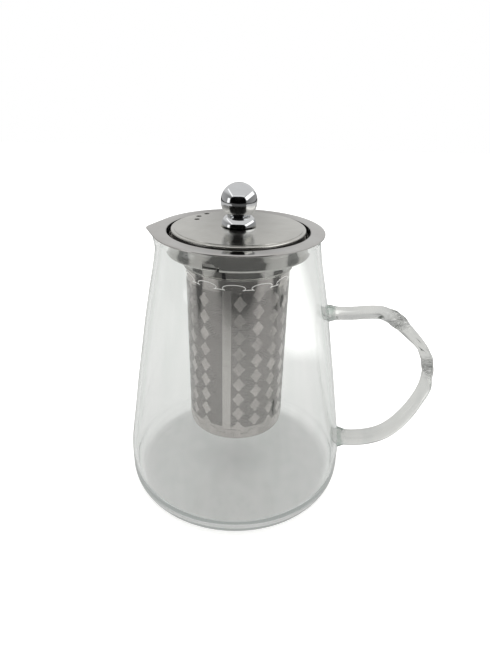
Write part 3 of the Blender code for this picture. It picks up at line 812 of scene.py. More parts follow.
def band_tree() -> GeoTree:
    """Build the tree that repeats an engraved scroll motif round a sleeve.

    Returns:
        A tree that sweeps a fine bead along a curling wave, one curl per repeat.
    """
    tree = GeoTree("scroll_band", [("Repeats", "NodeSocketInt", 12), ("Radius", "NodeSocketFloat", 0.0257),
                                   ("Height", "NodeSocketFloat", 0.12), ("Swing", "NodeSocketFloat", 0.0014),
                                   ("Curl", "NodeSocketFloat", 0.0016), ("Bead", "NodeSocketFloat", 0.00016),
                                   ("Phase", "NodeSocketFloat", 0.0), ("Resolution", "NodeSocketInt", 720),
                                   ("Material", "NodeSocketMaterial", None)])
    sheet = tree.sheet
    value = tree.value
    ring = tree.node("GeometryNodeCurvePrimitiveCircle", {"Resolution": value("Resolution"), "Radius": 1.0})
    index = tree.node("GeometryNodeInputIndex").outputs[0]
    along = sheet.over(sheet.times(index, TAU), value("Resolution"))
    phase = sheet.plus(sheet.times(along, value("Repeats")), value("Phase"))
    double = sheet.times(phase, 2.0)
    drift = sheet.plus(sheet.times(sheet.math("SINE", phase), 0.7),
                       sheet.times(sheet.math("SINE", double), 0.9))
    angle = sheet.plus(along, sheet.over(sheet.times(drift, value("Curl")), value("Radius")))
    wave = sheet.plus(sheet.math("COSINE", phase), sheet.times(sheet.math("COSINE", double), 0.45))
    height = sheet.plus(value("Height"), sheet.times(wave, value("Swing")))
    spot = tree.node("ShaderNodeCombineXYZ", {"X": sheet.times(value("Radius"), sheet.math("COSINE", angle)),
                                              "Y": sheet.times(value("Radius"), sheet.math("SINE", angle)),
                                              "Z": height})
    path = tree.node("GeometryNodeSetPosition", {"Geometry": ring.outputs[0], "Position": spot.outputs[0]})
    bead = tree.node("GeometryNodeCurvePrimitiveCircle", {"Resolution": 6, "Radius": value("Bead")})
    swept = tree.node("GeometryNodeCurveToMesh", {"Curve": path.outputs[0], "Profile Curve": bead.outputs[0]})
    tree.finish(swept.outputs[0])
    return tree


# ---------------------------------------------------------------- the pot


@dataclass
class PotGlass:
    """Blown body and bent handle."""

    body_glass: bpy.types.Material
    rod_glass: bpy.types.Material
    mouth_inset: float = 0.0200
    wall: float = 0.0020
    floor: float = 0.0034
    corner_run: float = 0.0072
    corner_rise: float = 0.0100
    lip_reach: float = 0.0026
    lip_depth: float = 0.0080
    lip_spread: float = math.radians(17.0)
    handle_width: float = 0.0084
    joint_gap: float = 0.00004
    segments: int = 192
    rod_sides: int = 40
    wall_shape: tuple[Point, ...] = (
        (0.140, 1.000), (0.180, 0.975), (0.240, 0.912), (0.320, 0.823), (0.450, 0.683),
        (0.600, 0.506), (0.700, 0.387), (0.800, 0.253), (0.900, 0.108), (1.000, 0.000))
    handle_path: tuple[tuple[float, float, float], ...] = (
        (-0.0072, 0.7010, 0.0068), (-0.0006, 0.7030, 0.0066), (0.0058, 0.7075, 0.0066),
        (0.0120, 0.7098, 0.0068), (0.0180, 0.7030, 0.0072), (0.0244, 0.6770, 0.0074),
        (0.0310, 0.6340, 0.0064), (0.0376, 0.5870, 0.0054), (0.0420, 0.5400, 0.0057),
        (0.0444, 0.4900, 0.0060), (0.0452, 0.4430, 0.0061), (0.0450, 0.3920, 0.0072),
        (0.0424, 0.3360, 0.0070), (0.0384, 0.2740, 0.0076), (0.0328, 0.2140, 0.0084),
        (0.0262, 0.1700, 0.0091), (0.0182, 0.1450, 0.0095), (0.0094, 0.1350, 0.0097),
        (0.0034, 0.1360, 0.0098))

    def __post_init__(self) -> None:
        """Read the leading sizes from the frame."""
        _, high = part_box("glass_pot")
        self.rim = high.z
        self.belly = high.y
        self.mouth = self.belly - self.mouth_inset

    def wall_radius(self, height: float) -> float:
        """Return the outer radius of the glass at a height."""
        share = curve_through(self.wall_shape, height / self.rim)
        return self.mouth + (self.belly - self.mouth) * share

    def lip(self, radius: float, height: float, angle: float) -> float:
        """Return the radius with the pouring lip drawn out."""
        off = (angle - math.pi) / self.lip_spread
        rise = smooth_step((height - self.rim + self.lip_depth) / self.lip_depth)
        return radius + self.lip_reach * rise * math.exp(-off * off)

    def corner(self, inset: float, floor: float) -> list[Point]:
        """Return the rounded base corner, from the floor up to the wall."""
        foot = self.belly - self.corner_run
        points = []
        for step in range(17):
            angle = math.radians(90.0 * step / 16)
            radius = foot - inset * 0.6 + (self.corner_run - inset * 0.4) * math.sin(angle)
            points.append((radius, floor + self.corner_rise * (1.0 - math.cos(angle))))
        return points

    def heights(self, start: float, rows: int) -> list[float]:
        """Return heights from a start up to just under the rounded rim."""
        end = self.rim - self.wall / 2
        return [start + (end - start) * row / rows for row in range(rows + 1)]

    def body_profile(self) -> list[Point]:
        """Return the closed profile of the whole glass wall."""
        rim_height = self.rim - self.wall / 2
        points = [(0.0, 0.0), (0.02, 0.0)] + self.corner(0.0, 0.0)
        points += [(self.wall_radius(z), z) for z in self.heights(self.corner_rise + 0.002, 60)]
        points += arc((self.mouth - self.wall / 2, rim_height), self.wall / 2, 12.0, 168.0, 12)
        inside = self.heights(self.floor + self.corner_rise + 0.002, 60)
        points += [(self.wall_radius(z) - self.wall, z) for z in reversed(inside)]
        points += reversed(self.corner(self.wall, self.floor))
        return points + [(0.02, self.floor), (0.0, self.floor)]

    def rod_stations(self) -> list[tuple[Vector, float]]:
        """Return closely spaced centres and thicknesses along the handle."""
        rows = [(Vector((self.belly + out, 0.0, share * self.rim)), thick)
                for out, share, thick in self.handle_path]
        rows = [(Vector((self.wall_radius(rows[0][0].z), 0.0, rows[0][0].z)), rows[0][1])] + rows[1:]
        foot = rows[-1][0]
        rows.append((Vector((self.wall_radius(max(foot.z, self.corner_rise)), 0.0, foot.z)), rows[-1][1]))
        filled = []
        last = len(rows) - 1
        for index in range(last):
            group = [rows[max(index - 1, 0)], rows[index], rows[index + 1], rows[min(index + 2, last)]]
            for step in range(10):
                t = step / 10
                weights = (-0.5 * t**3 + t**2 - 0.5 * t, 1.5 * t**3 - 2.5 * t**2 + 1.0,
                           -1.5 * t**3 + 2.0 * t**2 + 0.5 * t, 0.5 * t**3 - 0.5 * t**2)
                centre = sum((w * row[0] for w, row in zip(weights, group)), Vector())
                filled.append((centre, sum(w * row[1] for w, row in zip(weights, group))))
        return filled + [rows[last]]

    def rod_sections(self) -> list[list[Vector]]:
        """Return the sections of the fluted, twisted rod, its ends laid on the wall."""
        stations = self.rod_stations()
        lengths = [0.0]
        for here, there in zip(stations, stations[1:]):
            lengths.append(lengths[-1] + (there[0] - here[0]).length)
        whole = lengths[-1]
        sections = []
        for index, (centre, thickness) in enumerate(stations):
            before, after = stations[max(index - 1, 0)][0], stations[min(index + 1, len(stations) - 1)][0]
            along = (after - before).normalized()
            across = Vector((0.0, 1.0, 0.0))
            normal = along.cross(across)
            share = lengths[index] / whole
            twist = math.pi * (smooth_step((share - 0.16) / 0.16) + smooth_step((share - 0.36) / 0.20))
            from_end = min(lengths[index], whole - lengths[index])
            swell = 1.0 + 0.28 * (1.0 - smooth_step(from_end / 0.005))
            flute = 0.045 * smooth_step(from_end / 0.010)
            section = []
            for side in range(self.rod_sides):
                angle = TAU * side / self.rod_sides
                ridge = 1.0 + flute * math.cos(5.0 * (angle + twist))
                ridge += 0.05 * flute / 0.045 * math.cos(2.0 * (angle + twist))
                section.append(centre + across * (self.handle_width / 2 * swell * ridge * math.cos(angle))
                               + normal * (thickness / 2 * swell * ridge * math.sin(angle)))
            sections.append(section)
        return [self.laid(sections[0])] + sections[2:-2] + [self.laid(sections[-1])]

    def laid(self, section: list[Vector]) -> list[Vector]:
        """Move an end section onto the outside of the wall."""
        moved = []
        for spot in section:
            reach = self.wall_radius(max(spot.z, 0.14 * self.rim)) + self.joint_gap
            moved.append(Vector((math.sqrt(max(reach**2 - spot.y**2, 0.0)), spot.y, spot.z)))
        return moved

    def build(self) -> None:
        """Make the body and the handle and join them to the frame."""
        body = Shape.revolved(self.body_profile(), self.segments, self.lip)
        finish_piece(body.to_object("pot_body", self.body_glass), "pot", "clear_glass", "glass_pot")
        rod = Shape.lofted(self.rod_sections())
        finish_piece(rod.to_object("pot_handle", self.rod_glass, 60.0), "pot", "handle_glass", "glass_handle")


def finish_piece(item: bpy.types.Object, body: str, slot: str, *stands_for: str) -> bpy.types.Object:
    """Join a piece to its body and hide the frame nodes it takes the place of.

    Args:
        item: The finished piece.
        body: The body it moves with.
        slot: Not used.
        *stands_for: Frame nodes it takes the place of.

    Returns:
        The piece.
    """
    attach(item, body)
    if stands_for:
        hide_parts(*stands_for)
    LOG.info("%s rides on %s with %d faces", item.name, body, len(item.data.polygons))
    return item


# ---------------------------------------------------------------- the collar


@dataclass
class Collar:
    """Pressed ring with its flange, well, shoulder, neck and locking slots."""

    steel: bpy.types.Material | None = None
    flange_width: float = 0.0071
    sheet: float = 0.0005
    flange: float = 0.0008
    nose_reach: float = 0.0038
    well_depth: float = 0.0097
    neck_outer: float = 0.0266
    lip_roll: float = 0.0004
    window_angle: float = math.radians(-109.0)
    window_width: float = 0.0060
    window_top: float = 0.0066
    window_height: float = 0.0026
    slot_width: float = 0.0018
    slot_angle: float = math.radians(-102.8)
    slot_lean: float = math.radians(1.6)
    lock_turn: float = math.radians(14.0)
    lock_depth: float = 0.0120
    locks: int = 2
    segments: int = 240

    def __post_init__(self) -> None:
        """Read the leading sizes from the frame."""
        low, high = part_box("collar_ring")
        self.top = high.z
        self.bottom = low.z
        self.flange_radius = high.y
        self.well = self.flange_radius - self.flange_width

    def profile(self) -> list[Point]:
        """Return the closed profile with every fold rounded."""
        top, shoulder = self.top, self.top - self.well_depth
        out, neck_in = self.well + self.sheet, self.neck_outer - self.sheet
        edge = self.flange_radius
        under = top - self.flange
        roll = self.neck_outer + self.lip_roll
        corners = (
            (neck_in, self.bottom, 0.0002), (neck_in, shoulder, 0.0009), (self.well, shoulder, 0.0010),
            (self.well, top, 0.0006), (edge - 0.0014, top, 0.0012), (edge, top - 0.00012, 0.0004),
            (edge, under, 0.0003), (out, under, 0.0005), (out, shoulder - self.sheet, 0.0014),
            (self.neck_outer, shoulder - self.sheet, 0.0006), (self.neck_outer, self.bottom + 0.0009, 0.0003),
            (roll, self.bottom + 0.0006, 0.0003), (roll, self.bottom, 0.0002))
        return rounded(corners, 6)

    def nose(self, radius: float, height: float, angle: float) -> float:
        """Return the radius with the flange drawn out over the pouring lip."""
        inner = self.well + self.sheet + 0.0006
        if radius <= inner:
            return radius
        spread = math.acos(self.flange_radius / (self.flange_radius + self.nose_reach))
        off = math.sqrt((angle - math.pi) ** 2 + 0.0009)
        if off >= spread:
            return radius
        edge = self.flange_radius / math.cos(spread - off)
        return radius + (edge - self.flange_radius) * (radius - inner) / (self.flange_radius - inner)

    def block(self, radii: Point, angles: Point, heights: Point, lean: float = 0.0) -> Shape:
        """Return a curved block between two radii, angles and heights."""
        sections = []
        for height, turn in ((heights[0], lean), (heights[1], 0.0)):
            section = []
            for radius, angle in ((radii[0], angles[0]), (radii[1], angles[0]),
                                  (radii[1], angles[1]), (radii[0], angles[1])):
                section.append(Vector((radius * math.cos(angle + turn), radius * math.sin(angle + turn),
                                       height)))
            sections.append(section)
        return Shape.lofted(sections)

    def window(self) -> Shape:
        """Return the rounded window through the well wall."""
        half = self.window_width / 2 / self.well
        low = self.top - self.window_top - self.window_height
        high = low + self.window_height
        outline = [(-half, low), (half, low), (half, low + 0.5 * self.window_height)]
        for step in range(1, 6):
            t = step / 6
            outline.append((half * (1 - 0.75 * t**1.5),
                            low + self.window_height * (0.5 + 0.5 * math.sin(t * math.pi / 2))))
        outline += [(half * 0.2, high), (-half * 0.65, high), (-half * 0.9, high - 0.1 * self.window_height),
                    (-half, high - 0.35 * self.window_height)]
        sections = []
        for radius in (self.well - self.sheet, self.well + 3 * self.sheet):
            sections.append([Vector((radius * math.cos(self.window_angle + a),
                                     radius * math.sin(self.window_angle + a), z)) for a, z in outline])
        return Shape.lofted(sections)

    def cutters(self) -> list[Shape]:
        """Return every opening, one copy per lock, grouped by kind."""
        half = self.slot_width / 2
        shoulder = self.top - self.well_depth
        wide, narrow = half / self.well, half / self.neck_outer
        entry = self.slot_angle
        neck_in = self.neck_outer - self.sheet
        neck = self.neck_outer + self.lip_roll + self.sheet
        level = self.top - self.lock_depth
        end = entry - self.lock_turn - half / self.neck_outer
        kinds = [self.window(), self.block((self.neck_outer + self.sheet / 2, self.well + 2 * self.sheet),
                                           (entry - wide, entry + wide),
                                           (shoulder - 2 * self.sheet, shoulder + 0.7 * self.window_height)),
                 self.block((neck_in - self.sheet, neck), (entry - narrow, entry + narrow),
                            (self.bottom - self.sheet, shoulder + self.sheet), self.slot_lean),
                 self.block((neck_in - self.sheet, neck - self.lip_roll), (end, entry + narrow / 2),
                            (level - half, level + half))]
        turns = [Matrix.Rotation(TAU * lock / self.locks, 4, "Z") for lock in range(self.locks)]
        return [Shape.merged(kind.turned(turn) for turn in turns) for kind in kinds]

    def build(self) -> None:
        """Make the collar and join it to the frame."""
        ring = Shape.revolved(self.profile(), self.segments, self.nose).to_object("collar", self.steel)
        finish_piece(drilled(ring, self.cutters()), "infuser", "polished_steel", "collar_ring")


# ---------------------------------------------------------------- the basket


@dataclass
class Basket:
    """Etched sleeve with its slots, scrolls, seam and floor."""

    plain: bpy.types.Material
    slot_shade: bpy.types.Material
    # engraved: the upper scroll's material, which glows with painted light
    engraved: bpy.types.Material
    etched: bpy.types.Material | None = None
    rows_per_pitch: int = 10
    slots_per_column: int = 8
    slot_length: float = 0.00104
    slot_height: float = 0.00026
    sheet: float = 0.0005
    corner: float = 0.0018
    taper: float = 0.0005
    columns: int = 18
    plain_column: int = 8
    pitch: float = 0.0088
    diamond_width: float = 0.0058
    diamond_height: float = 0.0084
    pattern_low: float = 0.0432
    pattern_high: float = 0.1190
    turn: float = math.radians(84.6)
    seam_low: float = math.radians(-103.8)
    seam_high: float = math.radians(-94.2)
    segments: int = 192

    def __post_init__(self) -> None:
        """Read the leading sizes from the frame."""
        self.low, self.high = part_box("basket_sleeve")
        self.foot = self.low.z
        self.top = self.high.z
        self.top_radius = self.high.y
        self.foot_radius = self.top_radius - self.taper

    def radius_at(self, height: float) -> float:
        """Return the outer radius of the sleeve at a height."""
        return self.foot_radius + self.taper * (height - self.foot) / (self.top - self.foot)

    def sleeve_profile(self) -> list[Point]:
        """Return the closed profile with its rolled-in foot."""
        centre = (self.foot_radius - self.corner, self.foot + self.corner)
        outside = arc(centre, self.corner, -90.0, 0.0, 12)
        inside = arc(centre, self.corner - self.sheet, 0.0, -90.0, 12)
        return outside + [(self.top_radius, self.top), (self.top_radius - self.sheet, self.top)] + inside

    def build(self) -> None:
        """Make the basket and join it to the frame."""
        sleeve = Shape.revolved(self.sleeve_profile(), self.segments).to_object("basket_wall", self.etched)
        finish_piece(sleeve, "basket", "etched_steel", "basket_sleeve")
        row_pitch = self.pitch / self.rows_per_pitch
        rows = round((self.pattern_high - self.pattern_low) / row_pitch)
        first = (self.seam_low - self.turn) % TAU
        last = (self.seam_high - self.turn) % TAU
        # Dark bars set through the wall: painted shade where the open slots would be
        slots = wrap_tree().grow("basket_slots", {"Columns": self.columns,
                                                  "Slots Per Column": self.slots_per_column, "Rows": rows,
                                                  "Row Pitch": row_pitch, "Slot Length": self.slot_length,
                                                  "Slot Height": self.slot_height, "Wall": self.sheet,
                                                  "Radius": self.foot_radius,
                                                  "Taper": self.taper / (self.top - self.foot),
                                                  "Low": self.pattern_low, "Foot": self.foot,
                                                  "Plain Column": self.plain_column, "Turn": self.turn,
                                                  "Pitch": self.pitch, "Diamond Width": self.diamond_width,
                                                  "Diamond Height": self.diamond_height,
                                                  "Seam Low": min(first, last),
                                                  "Seam High": max(first, last), "Material": self.slot_shade})
        finish_piece(slots, "basket", "etched_steel")
        # The upper scroll glows with painted light through its material; the lower one is plain seam steel.
        for name, height, steel in (("upper_scroll", 0.1212, self.engraved),
                                    ("lower_scroll", 0.0400, self.plain)):
            radius = self.radius_at(height)
            scroll = band_tree().grow(name, {"Repeats": 12, "Radius": radius, "Height": height,
                                             "Swing": 0.0012, "Curl": 0.0021, "Bead": 0.00017, "Phase": 0.4,
                                             "Resolution": 960, "Material": steel})
            finish_piece(scroll, "basket", "etched_steel")
        self.build_seam()

    def build_seam(self) -> None:
        """Make the plain welded strip down the sleeve."""
        sections = []
        heights = [self.pattern_low - 0.001 + (self.pattern_high - self.pattern_low + 0.002) * s / 24
                   for s in range(25)]
        for height in heights:
            inner, outer = self.radius_at(height) - 0.0001, self.radius_at(height) + 0.00005
            angles = [self.seam_low + (self.seam_high - self.seam_low) * s / 8 for s in range(9)]
            section = [Vector((outer * math.cos(a), outer * math.sin(a), height)) for a in angles]
            section += [Vector((inner * math.cos(a), inner * math.sin(a), height)) for a in reversed(angles)]
            sections.append(section)
        seam = Shape.lofted(sections).to_object("basket_seam", self.plain)
        finish_piece(seam, "basket", "etched_steel")


# ---------------------------------------------------------------- the lid


@dataclass
class Lid:
    """Domed lid, its centring skirt and its ball knob."""

    steel: bpy.types.Material
    # satin: the lid ring's material, with a painted glow on its outer wall and painted shade on its inward lip
    satin: bpy.types.Material
    chrome: bpy.types.Material
    sheet: float = 0.0005
    rim_width: float = 0.0019
    hole: float = 0.0023
    steam_radius: float = 0.0014
    steam: tuple[Point, ...] = ((154.0, 0.0236), (141.0, 0.0270), (127.5, 0.0288))
    foot_top: float = 0.0051
    segments: int = 240

    def __post_init__(self) -> None:
        """Read the leading sizes from the frame."""
        low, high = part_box("lid_dome")
        self.radius = high.y
        self.low = low.z
        self.top = high.z
        self.skirt_low, self.skirt_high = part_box("lid_skirt")
        self.ball_low, self.ball_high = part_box("knob_ball")
        self.foot_low, self.foot_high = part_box("knob_foot")

    def dome_profile(self) -> list[Point]:
        """Return the closed profile of the dome with its stepped, rolled rim."""
        flat = self.radius - self.rim_width
        rim = self.low + 0.0009
        rise = self.top - rim - self.sheet * 0.6
        upper = []
        for step in range(33):
            radius = self.hole + (flat - self.hole) * step / 32
            upper.append((radius, self.top - rise * (radius / flat) ** 2.0))
        outer = rounded(((flat + 0.0002, rim + 0.0003, 0.0001), (flat + 0.0003, rim, 0.0002),
                         (self.radius - 0.0003, rim, 0.0003), (self.radius, self.low + 0.0003, 0.0003),
                         (self.radius - 0.0002, self.low, 0.0002),
                         (self.radius - self.sheet, self.low, 0.0001),
                         (self.radius - self.sheet - 0.0001, rim - self.sheet, 0.0002),
                         (flat, rim - self.sheet, 0.0002)), 4, False)
        lower = [(radius, height - self.sheet) for radius, height in reversed(upper)]
        return upper + outer + lower

    def steam_cutters(self) -> list[Shape]:
        """Return the round cutters of the steam holes."""
        low, high = self.low - self.sheet, self.top + self.sheet
        drill = Shape.revolved([(0.0, low), (self.steam_radius, low), (self.steam_radius, high),
                                (0.0, high)], 32)
        return [Shape.merged(drill.turned(Matrix.Translation((
            reach * math.cos(math.radians(turn)), reach * math.sin(math.radians(turn)), 0.0)))
            for turn, reach in self.steam)]

    def skirt_profile(self) -> list[Point]:
        """Return the closed profile of the ring under the lid."""
        outer, low, high = self.skirt_high.y, self.skirt_low.z, self.skirt_high.z
        inner = outer - self.sheet
        lip = inner - 0.0022
        corners = ((inner, low, 0.0002), (outer, low, 0.0002), (outer, high, 0.0006), (lip, high, 0.0002),
                   (lip, high - self.sheet, 0.0002), (inner, high - self.sheet, 0.0004))
        return rounded(corners, 4)

    def ball_profile(self) -> list[Point]:
        """Return the ball with its flat base and screw bore."""
        radius = self.ball_high.y
        centre = self.ball_high.z - radius
        drop = centre - self.ball_low.z
        start = -math.degrees(math.asin(drop / radius))
        base = math.sqrt(radius**2 - drop**2)
        bore = self.ball_low.z + 0.0063
        ball = arc((0.0, centre), radius, start, 90.0, 56)
        ball = [(base - 0.0003, self.ball_low.z)] + ball[1:-1] + [(0.0, self.ball_high.z)]
        return [(0.0, bore), (self.hole, bore), (self.hole, self.ball_low.z)] + ball

    def foot_profile(self) -> list[Point]:
        """Return the domed foot under the ball."""
        outer, low = self.foot_high.y, self.foot_low.z
        height = self.foot_high.z - low
        end = math.acos(self.foot_top / outer)
        points = [(self.hole, low), (outer - 0.0004, low)]
        for step in range(1, 33):
            angle = end * step / 32
            points.append((outer * math.cos(angle), low + height * math.sin(angle) / math.sin(end)))
        return points + [(self.hole, self.foot_high.z)]

    def build(self) -> None:
        """Make the lid's pieces and join them to the frame."""
        dome = Shape.revolved(self.dome_profile(), self.segments).to_object("lid_top", self.steel)
        finish_piece(drilled(dome, self.steam_cutters()), "lid", "lid_steel", "lid_dome")
        skirt = Shape.revolved(self.skirt_profile(), self.segments).to_object("lid_ring", self.satin)
        finish_piece(skirt, "lid", "lid_steel", "lid_skirt")
        ball = Shape.revolved(self.ball_profile(), 128).to_object("knob_top", self.chrome)
        finish_piece(ball, "lid", "knob_chrome", "knob_ball")
        foot = Shape.revolved(self.foot_profile(), 128).to_object("knob_base", self.chrome)
        finish_piece(foot, "lid", "knob_chrome", "knob_foot")


# ---------------------------------------------------------------- the studio


@dataclass
class Studio:
    """Pale floor, a soft white tent of light and the camera."""

    distance: float = 0.2361
    height: float = 0.2065
    turn: float = math.radians(2.0)
    pitch: float = math.radians(26.38)
    roll: float = math.radians(1.31)
    yaw: float = math.radians(-1.0)
    lens: float = 27.53
    floor_size: float = 3.0
    # Painted reflection of the floor in steel: bright_reach, side_reach and bare_reach. Through glass:
    # glow_in_glass, a painted highlight patch and a painted shadow under the basket.
    bright_reach: float = 0.24
    patch_middle: Point = (0.062, 0.26)
    patch_half: Point = (0.014, 0.11)
    patch_fade: float = 0.03
    patch_glow: float = 0.45
    floor_glow: float = 0.62
    glow_in_glass: float = 0.40
    basket_shadow_depth: float = 0.09
    shadow_reach: Point = (0.003, 0.024)
    side_reach: float = 0.225
    bare_reach: float = 0.145
    lift: float = math.radians(12.3)
    mouth: tuple[float, float, float, float] = (-0.05, -0.19, 0.43, 0.41)
    mouth_again: float = 0.17
    seams: tuple[tuple[Point, float, float, float, float], ...] = (
        ((0.56, 0.27), 0.52, 0.17, 40.0, 1.5), ((-0.47, 0.42), 0.46, 0.06, 123.0, 1.2),
        ((-0.57, -0.04), 0.34, 0.11, 78.0, 1.3), ((0.57, -0.55), 0.44, 0.13, -15.0, 1.3),
        ((0.0, 0.25), 0.60, 0.03, 0.0, 1.0), ((-0.55, -0.66), 0.30, 0.06, 210.0, 1.0))

    def build_camera(self) -> None:
        """Place the camera."""
        data = bpy.data.cameras.new("camera")
        data.sensor_width = 36.0
        data.lens = self.lens
        data.clip_start = 0.01
        camera = bpy.data.objects.new("camera", data)
        bpy.context.scene.collection.objects.link(camera)
        forward = Vector((-math.sin(self.yaw) * math.cos(self.pitch),
                          math.cos(self.yaw) * math.cos(self.pitch), -math.sin(self.pitch)))
        right = Vector((math.cos(self.yaw), math.sin(self.yaw), 0.0))
        up = right.cross(forward)
        side = right * math.cos(self.roll) + up * math.sin(self.roll)
        top = up * math.cos(self.roll) - right * math.sin(self.roll)
        spin = Matrix.Rotation(self.turn, 4, "Z")
        axes = Matrix((side, top, -forward)).transposed().to_4x4()
        camera.matrix_world = spin @ Matrix.Translation((0.0, -self.distance, self.height)) @ axes
        bpy.context.scene.camera = camera

    def build_floor(self) -> None:
        """Lay the pale floor."""
        half = self.floor_size / 2
        corners = [(-half, -half, 0.0), (half, -half, 0.0), (half, half, 0.0), (-half, half, 0.0)]
        mesh = bpy.data.meshes.new("floor")
        mesh.from_pydata([Vector(corner) - Vector((0.0, 0.0, 0.0002)) for corner in corners], [],
                         [(0, 1, 2, 3)])
        floor = bpy.data.objects.new("floor", mesh)
        bpy.context.scene.collection.objects.link(floor)
        surface = Surface("floor_paper")
        sheet = surface.sheet
        cloud = sheet.spread(sheet.noise(surface.place, 6.0, 2.0), 0.3, 0.7, 0.0, 1.0)
        path = sheet.add("ShaderNodeLightPath")
        seen = path.outputs["Is Camera Ray"]
        # Painted reflections: steel and glass see the floor at other brightness than the camera, which sees it
        # evenly bright.
        mirrored = self.off_metal(sheet, path)
        mirror_glow = self.floor_in_mirror(surface)
        indirect = sheet.between(mirrored, self.floor_through_glass(surface), mirror_glow)
        glow = sheet.between(seen, indirect, self.floor_glow)
        paper = sheet.blend(cloud, (0.90, 0.90, 0.89, 1.0), (0.93, 0.93, 0.92, 1.0))
        # Painted shade: the paper is half as bright away from the camera's view, and darker still in steel.
        shade = sheet.larger(seen, sheet.spread(mirrored, 0.0, 1.0, 0.5, 0.1))
        surface.set(Base_Color=sheet.blend(shade, (0.0, 0.0, 0.0, 1.0), paper), Roughness=0.8,
                    Specular_IOR_Level=0.0, Emission_Color=(1.0, 0.995, 0.985, 1.0), Emission_Strength=glow)
        mesh.materials.append(surface.material)

    @staticmethod
    def off_metal(sheet: Sheet, path: bpy.types.Node) -> bpy.types.NodeSocket:
        """Return 1 for light that has bounced off metal rather than inside the walls of the glass."""
        bounced = sheet.above(path.outputs["Glossy Depth"], 0.5)
        bare = sheet.below(path.outputs["Transmission Depth"], 0.5)
        through_wall = sheet.math("COMPARE", path.outputs["Transmission Depth"], 4.0, 0.5)
        return sheet.times(bounced, sheet.larger(bare, through_wall))

    def floor_through_glass(self, surface: Surface) -> bpy.types.NodeSocket:
        """Return how bright the floor is through clear glass, with one painted bright window-like patch and a
        painted shadow under the basket.
        """
        sheet = surface.sheet
        spans = []
        for socket, middle, half in zip(sheet.parts(surface.place), self.patch_middle, self.patch_half):
            off = sheet.math("ABSOLUTE", sheet.minus(socket, middle))
            spans.append(sheet.spread(off, half, half + self.patch_fade, 1.0, 0.0))
        # Painted highlight: the brighter patch
        patch = sheet.times(spans[0], spans[1])
        lit = sheet.plus(self.glow_in_glass, sheet.times(patch, self.patch_glow))
        _, reach, _ = surface.round_axis()
        # Painted shadow: darker near the axis, under the basket
        return sheet.minus(lit, sheet.spread(reach, *self.shadow_reach, self.basket_shadow_depth, 0.0))

    def floor_in_mirror(self, surface: Surface) -> bpy.types.NodeSocket:
        """Return the painted reflection of the floor in polished steel: white near by, dark past the tent's
        mouth.

        Args:
            surface: The floor's material.

        Returns:
            The glow at each place on the floor.
        """
        sheet = surface.sheet
        _, reach, _ = surface.round_axis()
        x, y, _ = sheet.parts(surface.place)
        front = sheet.math("ARCTAN2", x, sheet.times(y, -1.0))
        front = sheet.math("ABSOLUTE", sheet.minus(front, self.turn))
        ahead = sheet.plus(self.bright_reach, sheet.times(sheet.math("POWER", front, 4.0), 0.316))
        beside = sheet.math("POWER", sheet.math("ABSOLUTE", sheet.minus(front, TAU / 4)), 2.0)
        beside = sheet.plus(self.side_reach, sheet.times(beside, 2.8))
        edge = sheet.smaller(ahead, beside)
        bare_edge = sheet.spread(front, 0.70, 0.85, self.bare_reach, 0.9)
        path = sheet.add("ShaderNodeLightPath")
        bare = sheet.below(path.outputs["Transmission Depth"], 0.5)
        past = sheet.over(reach, sheet.between(bare, edge, bare_edge))
        near = sheet.spread(past, 0.55, 1.0, 0.66, 0.30)
        return sheet.smaller(near, sheet.spread(past, 0.96, 1.06, 0.5, 0.012))

    def build_world(self) -> None:
        """Surround the object with a soft tent, open and dark in front, with bright seams."""
        world = bpy.data.worlds.new("tent")
        bpy.context.scene.world = world
        world.use_nodes = True
        sheet = Sheet(world.node_tree)
        back = world.node_tree.nodes["Background"]
        across, rise = self.probe(sheet)
        left, right = sheet.spread(across, -0.95, -0.30, 0.55, 0.0), sheet.spread(across, 0.30, 0.95, 0.0,
                                                                                  0.35)
        top = sheet.spread(rise, 0.94, 0.99, 0.68, 0.40)
        wall = sheet.larger(left, right)
        steep = sheet.minus(rise, sheet.times(sheet.math("ABSOLUTE", across), 0.55))
        side = sheet.plus(0.16, sheet.times(wall, 0.55))
        glow = sheet.between(sheet.spread(steep, -0.05, 0.12), side, top)
        for middle, length, width, turn, strength in self.seams:
            glow = sheet.larger(glow, self.seam(sheet, across, rise, middle, length, width, turn, strength))
        path = sheet.add("ShaderNodeLightPath")
        again = sheet.above(path.outputs["Glossy Depth"], 1.5)
        middle, half = self.mouth[1], self.mouth[3]
        lifted = sheet.minus(rise, sheet.spread(again, 0.0, 1.0, middle, middle + self.mouth_again))
        taller = sheet.spread(again, 0.0, 1.0, half, half + self.mouth_again)
        off = sheet.math("ABSOLUTE", sheet.minus(across, self.mouth[0]))
        far = sheet.plus(sheet.math("POWER", sheet.over(off, self.mouth[2]), 4.0),
                         sheet.math("POWER", sheet.math("ABSOLUTE", sheet.over(lifted, taller)), 4.0))
        elsewhere = sheet.opposite(self.off_metal(sheet, path))
        mouth = sheet.larger(sheet.spread(far, 0.85, 1.20, 0.012, 1.0), elsewhere)
        glow = sheet.times(glow, mouth)
        glow = sheet.larger(glow, sheet.times(elsewhere, 0.42))
        back.inputs["Color"].default_value = (1.0, 1.0, 1.0, 1.0)
        sheet.feed(back.inputs["Strength"], sheet.between(path.outputs["Is Camera Ray"], glow, 1.0))

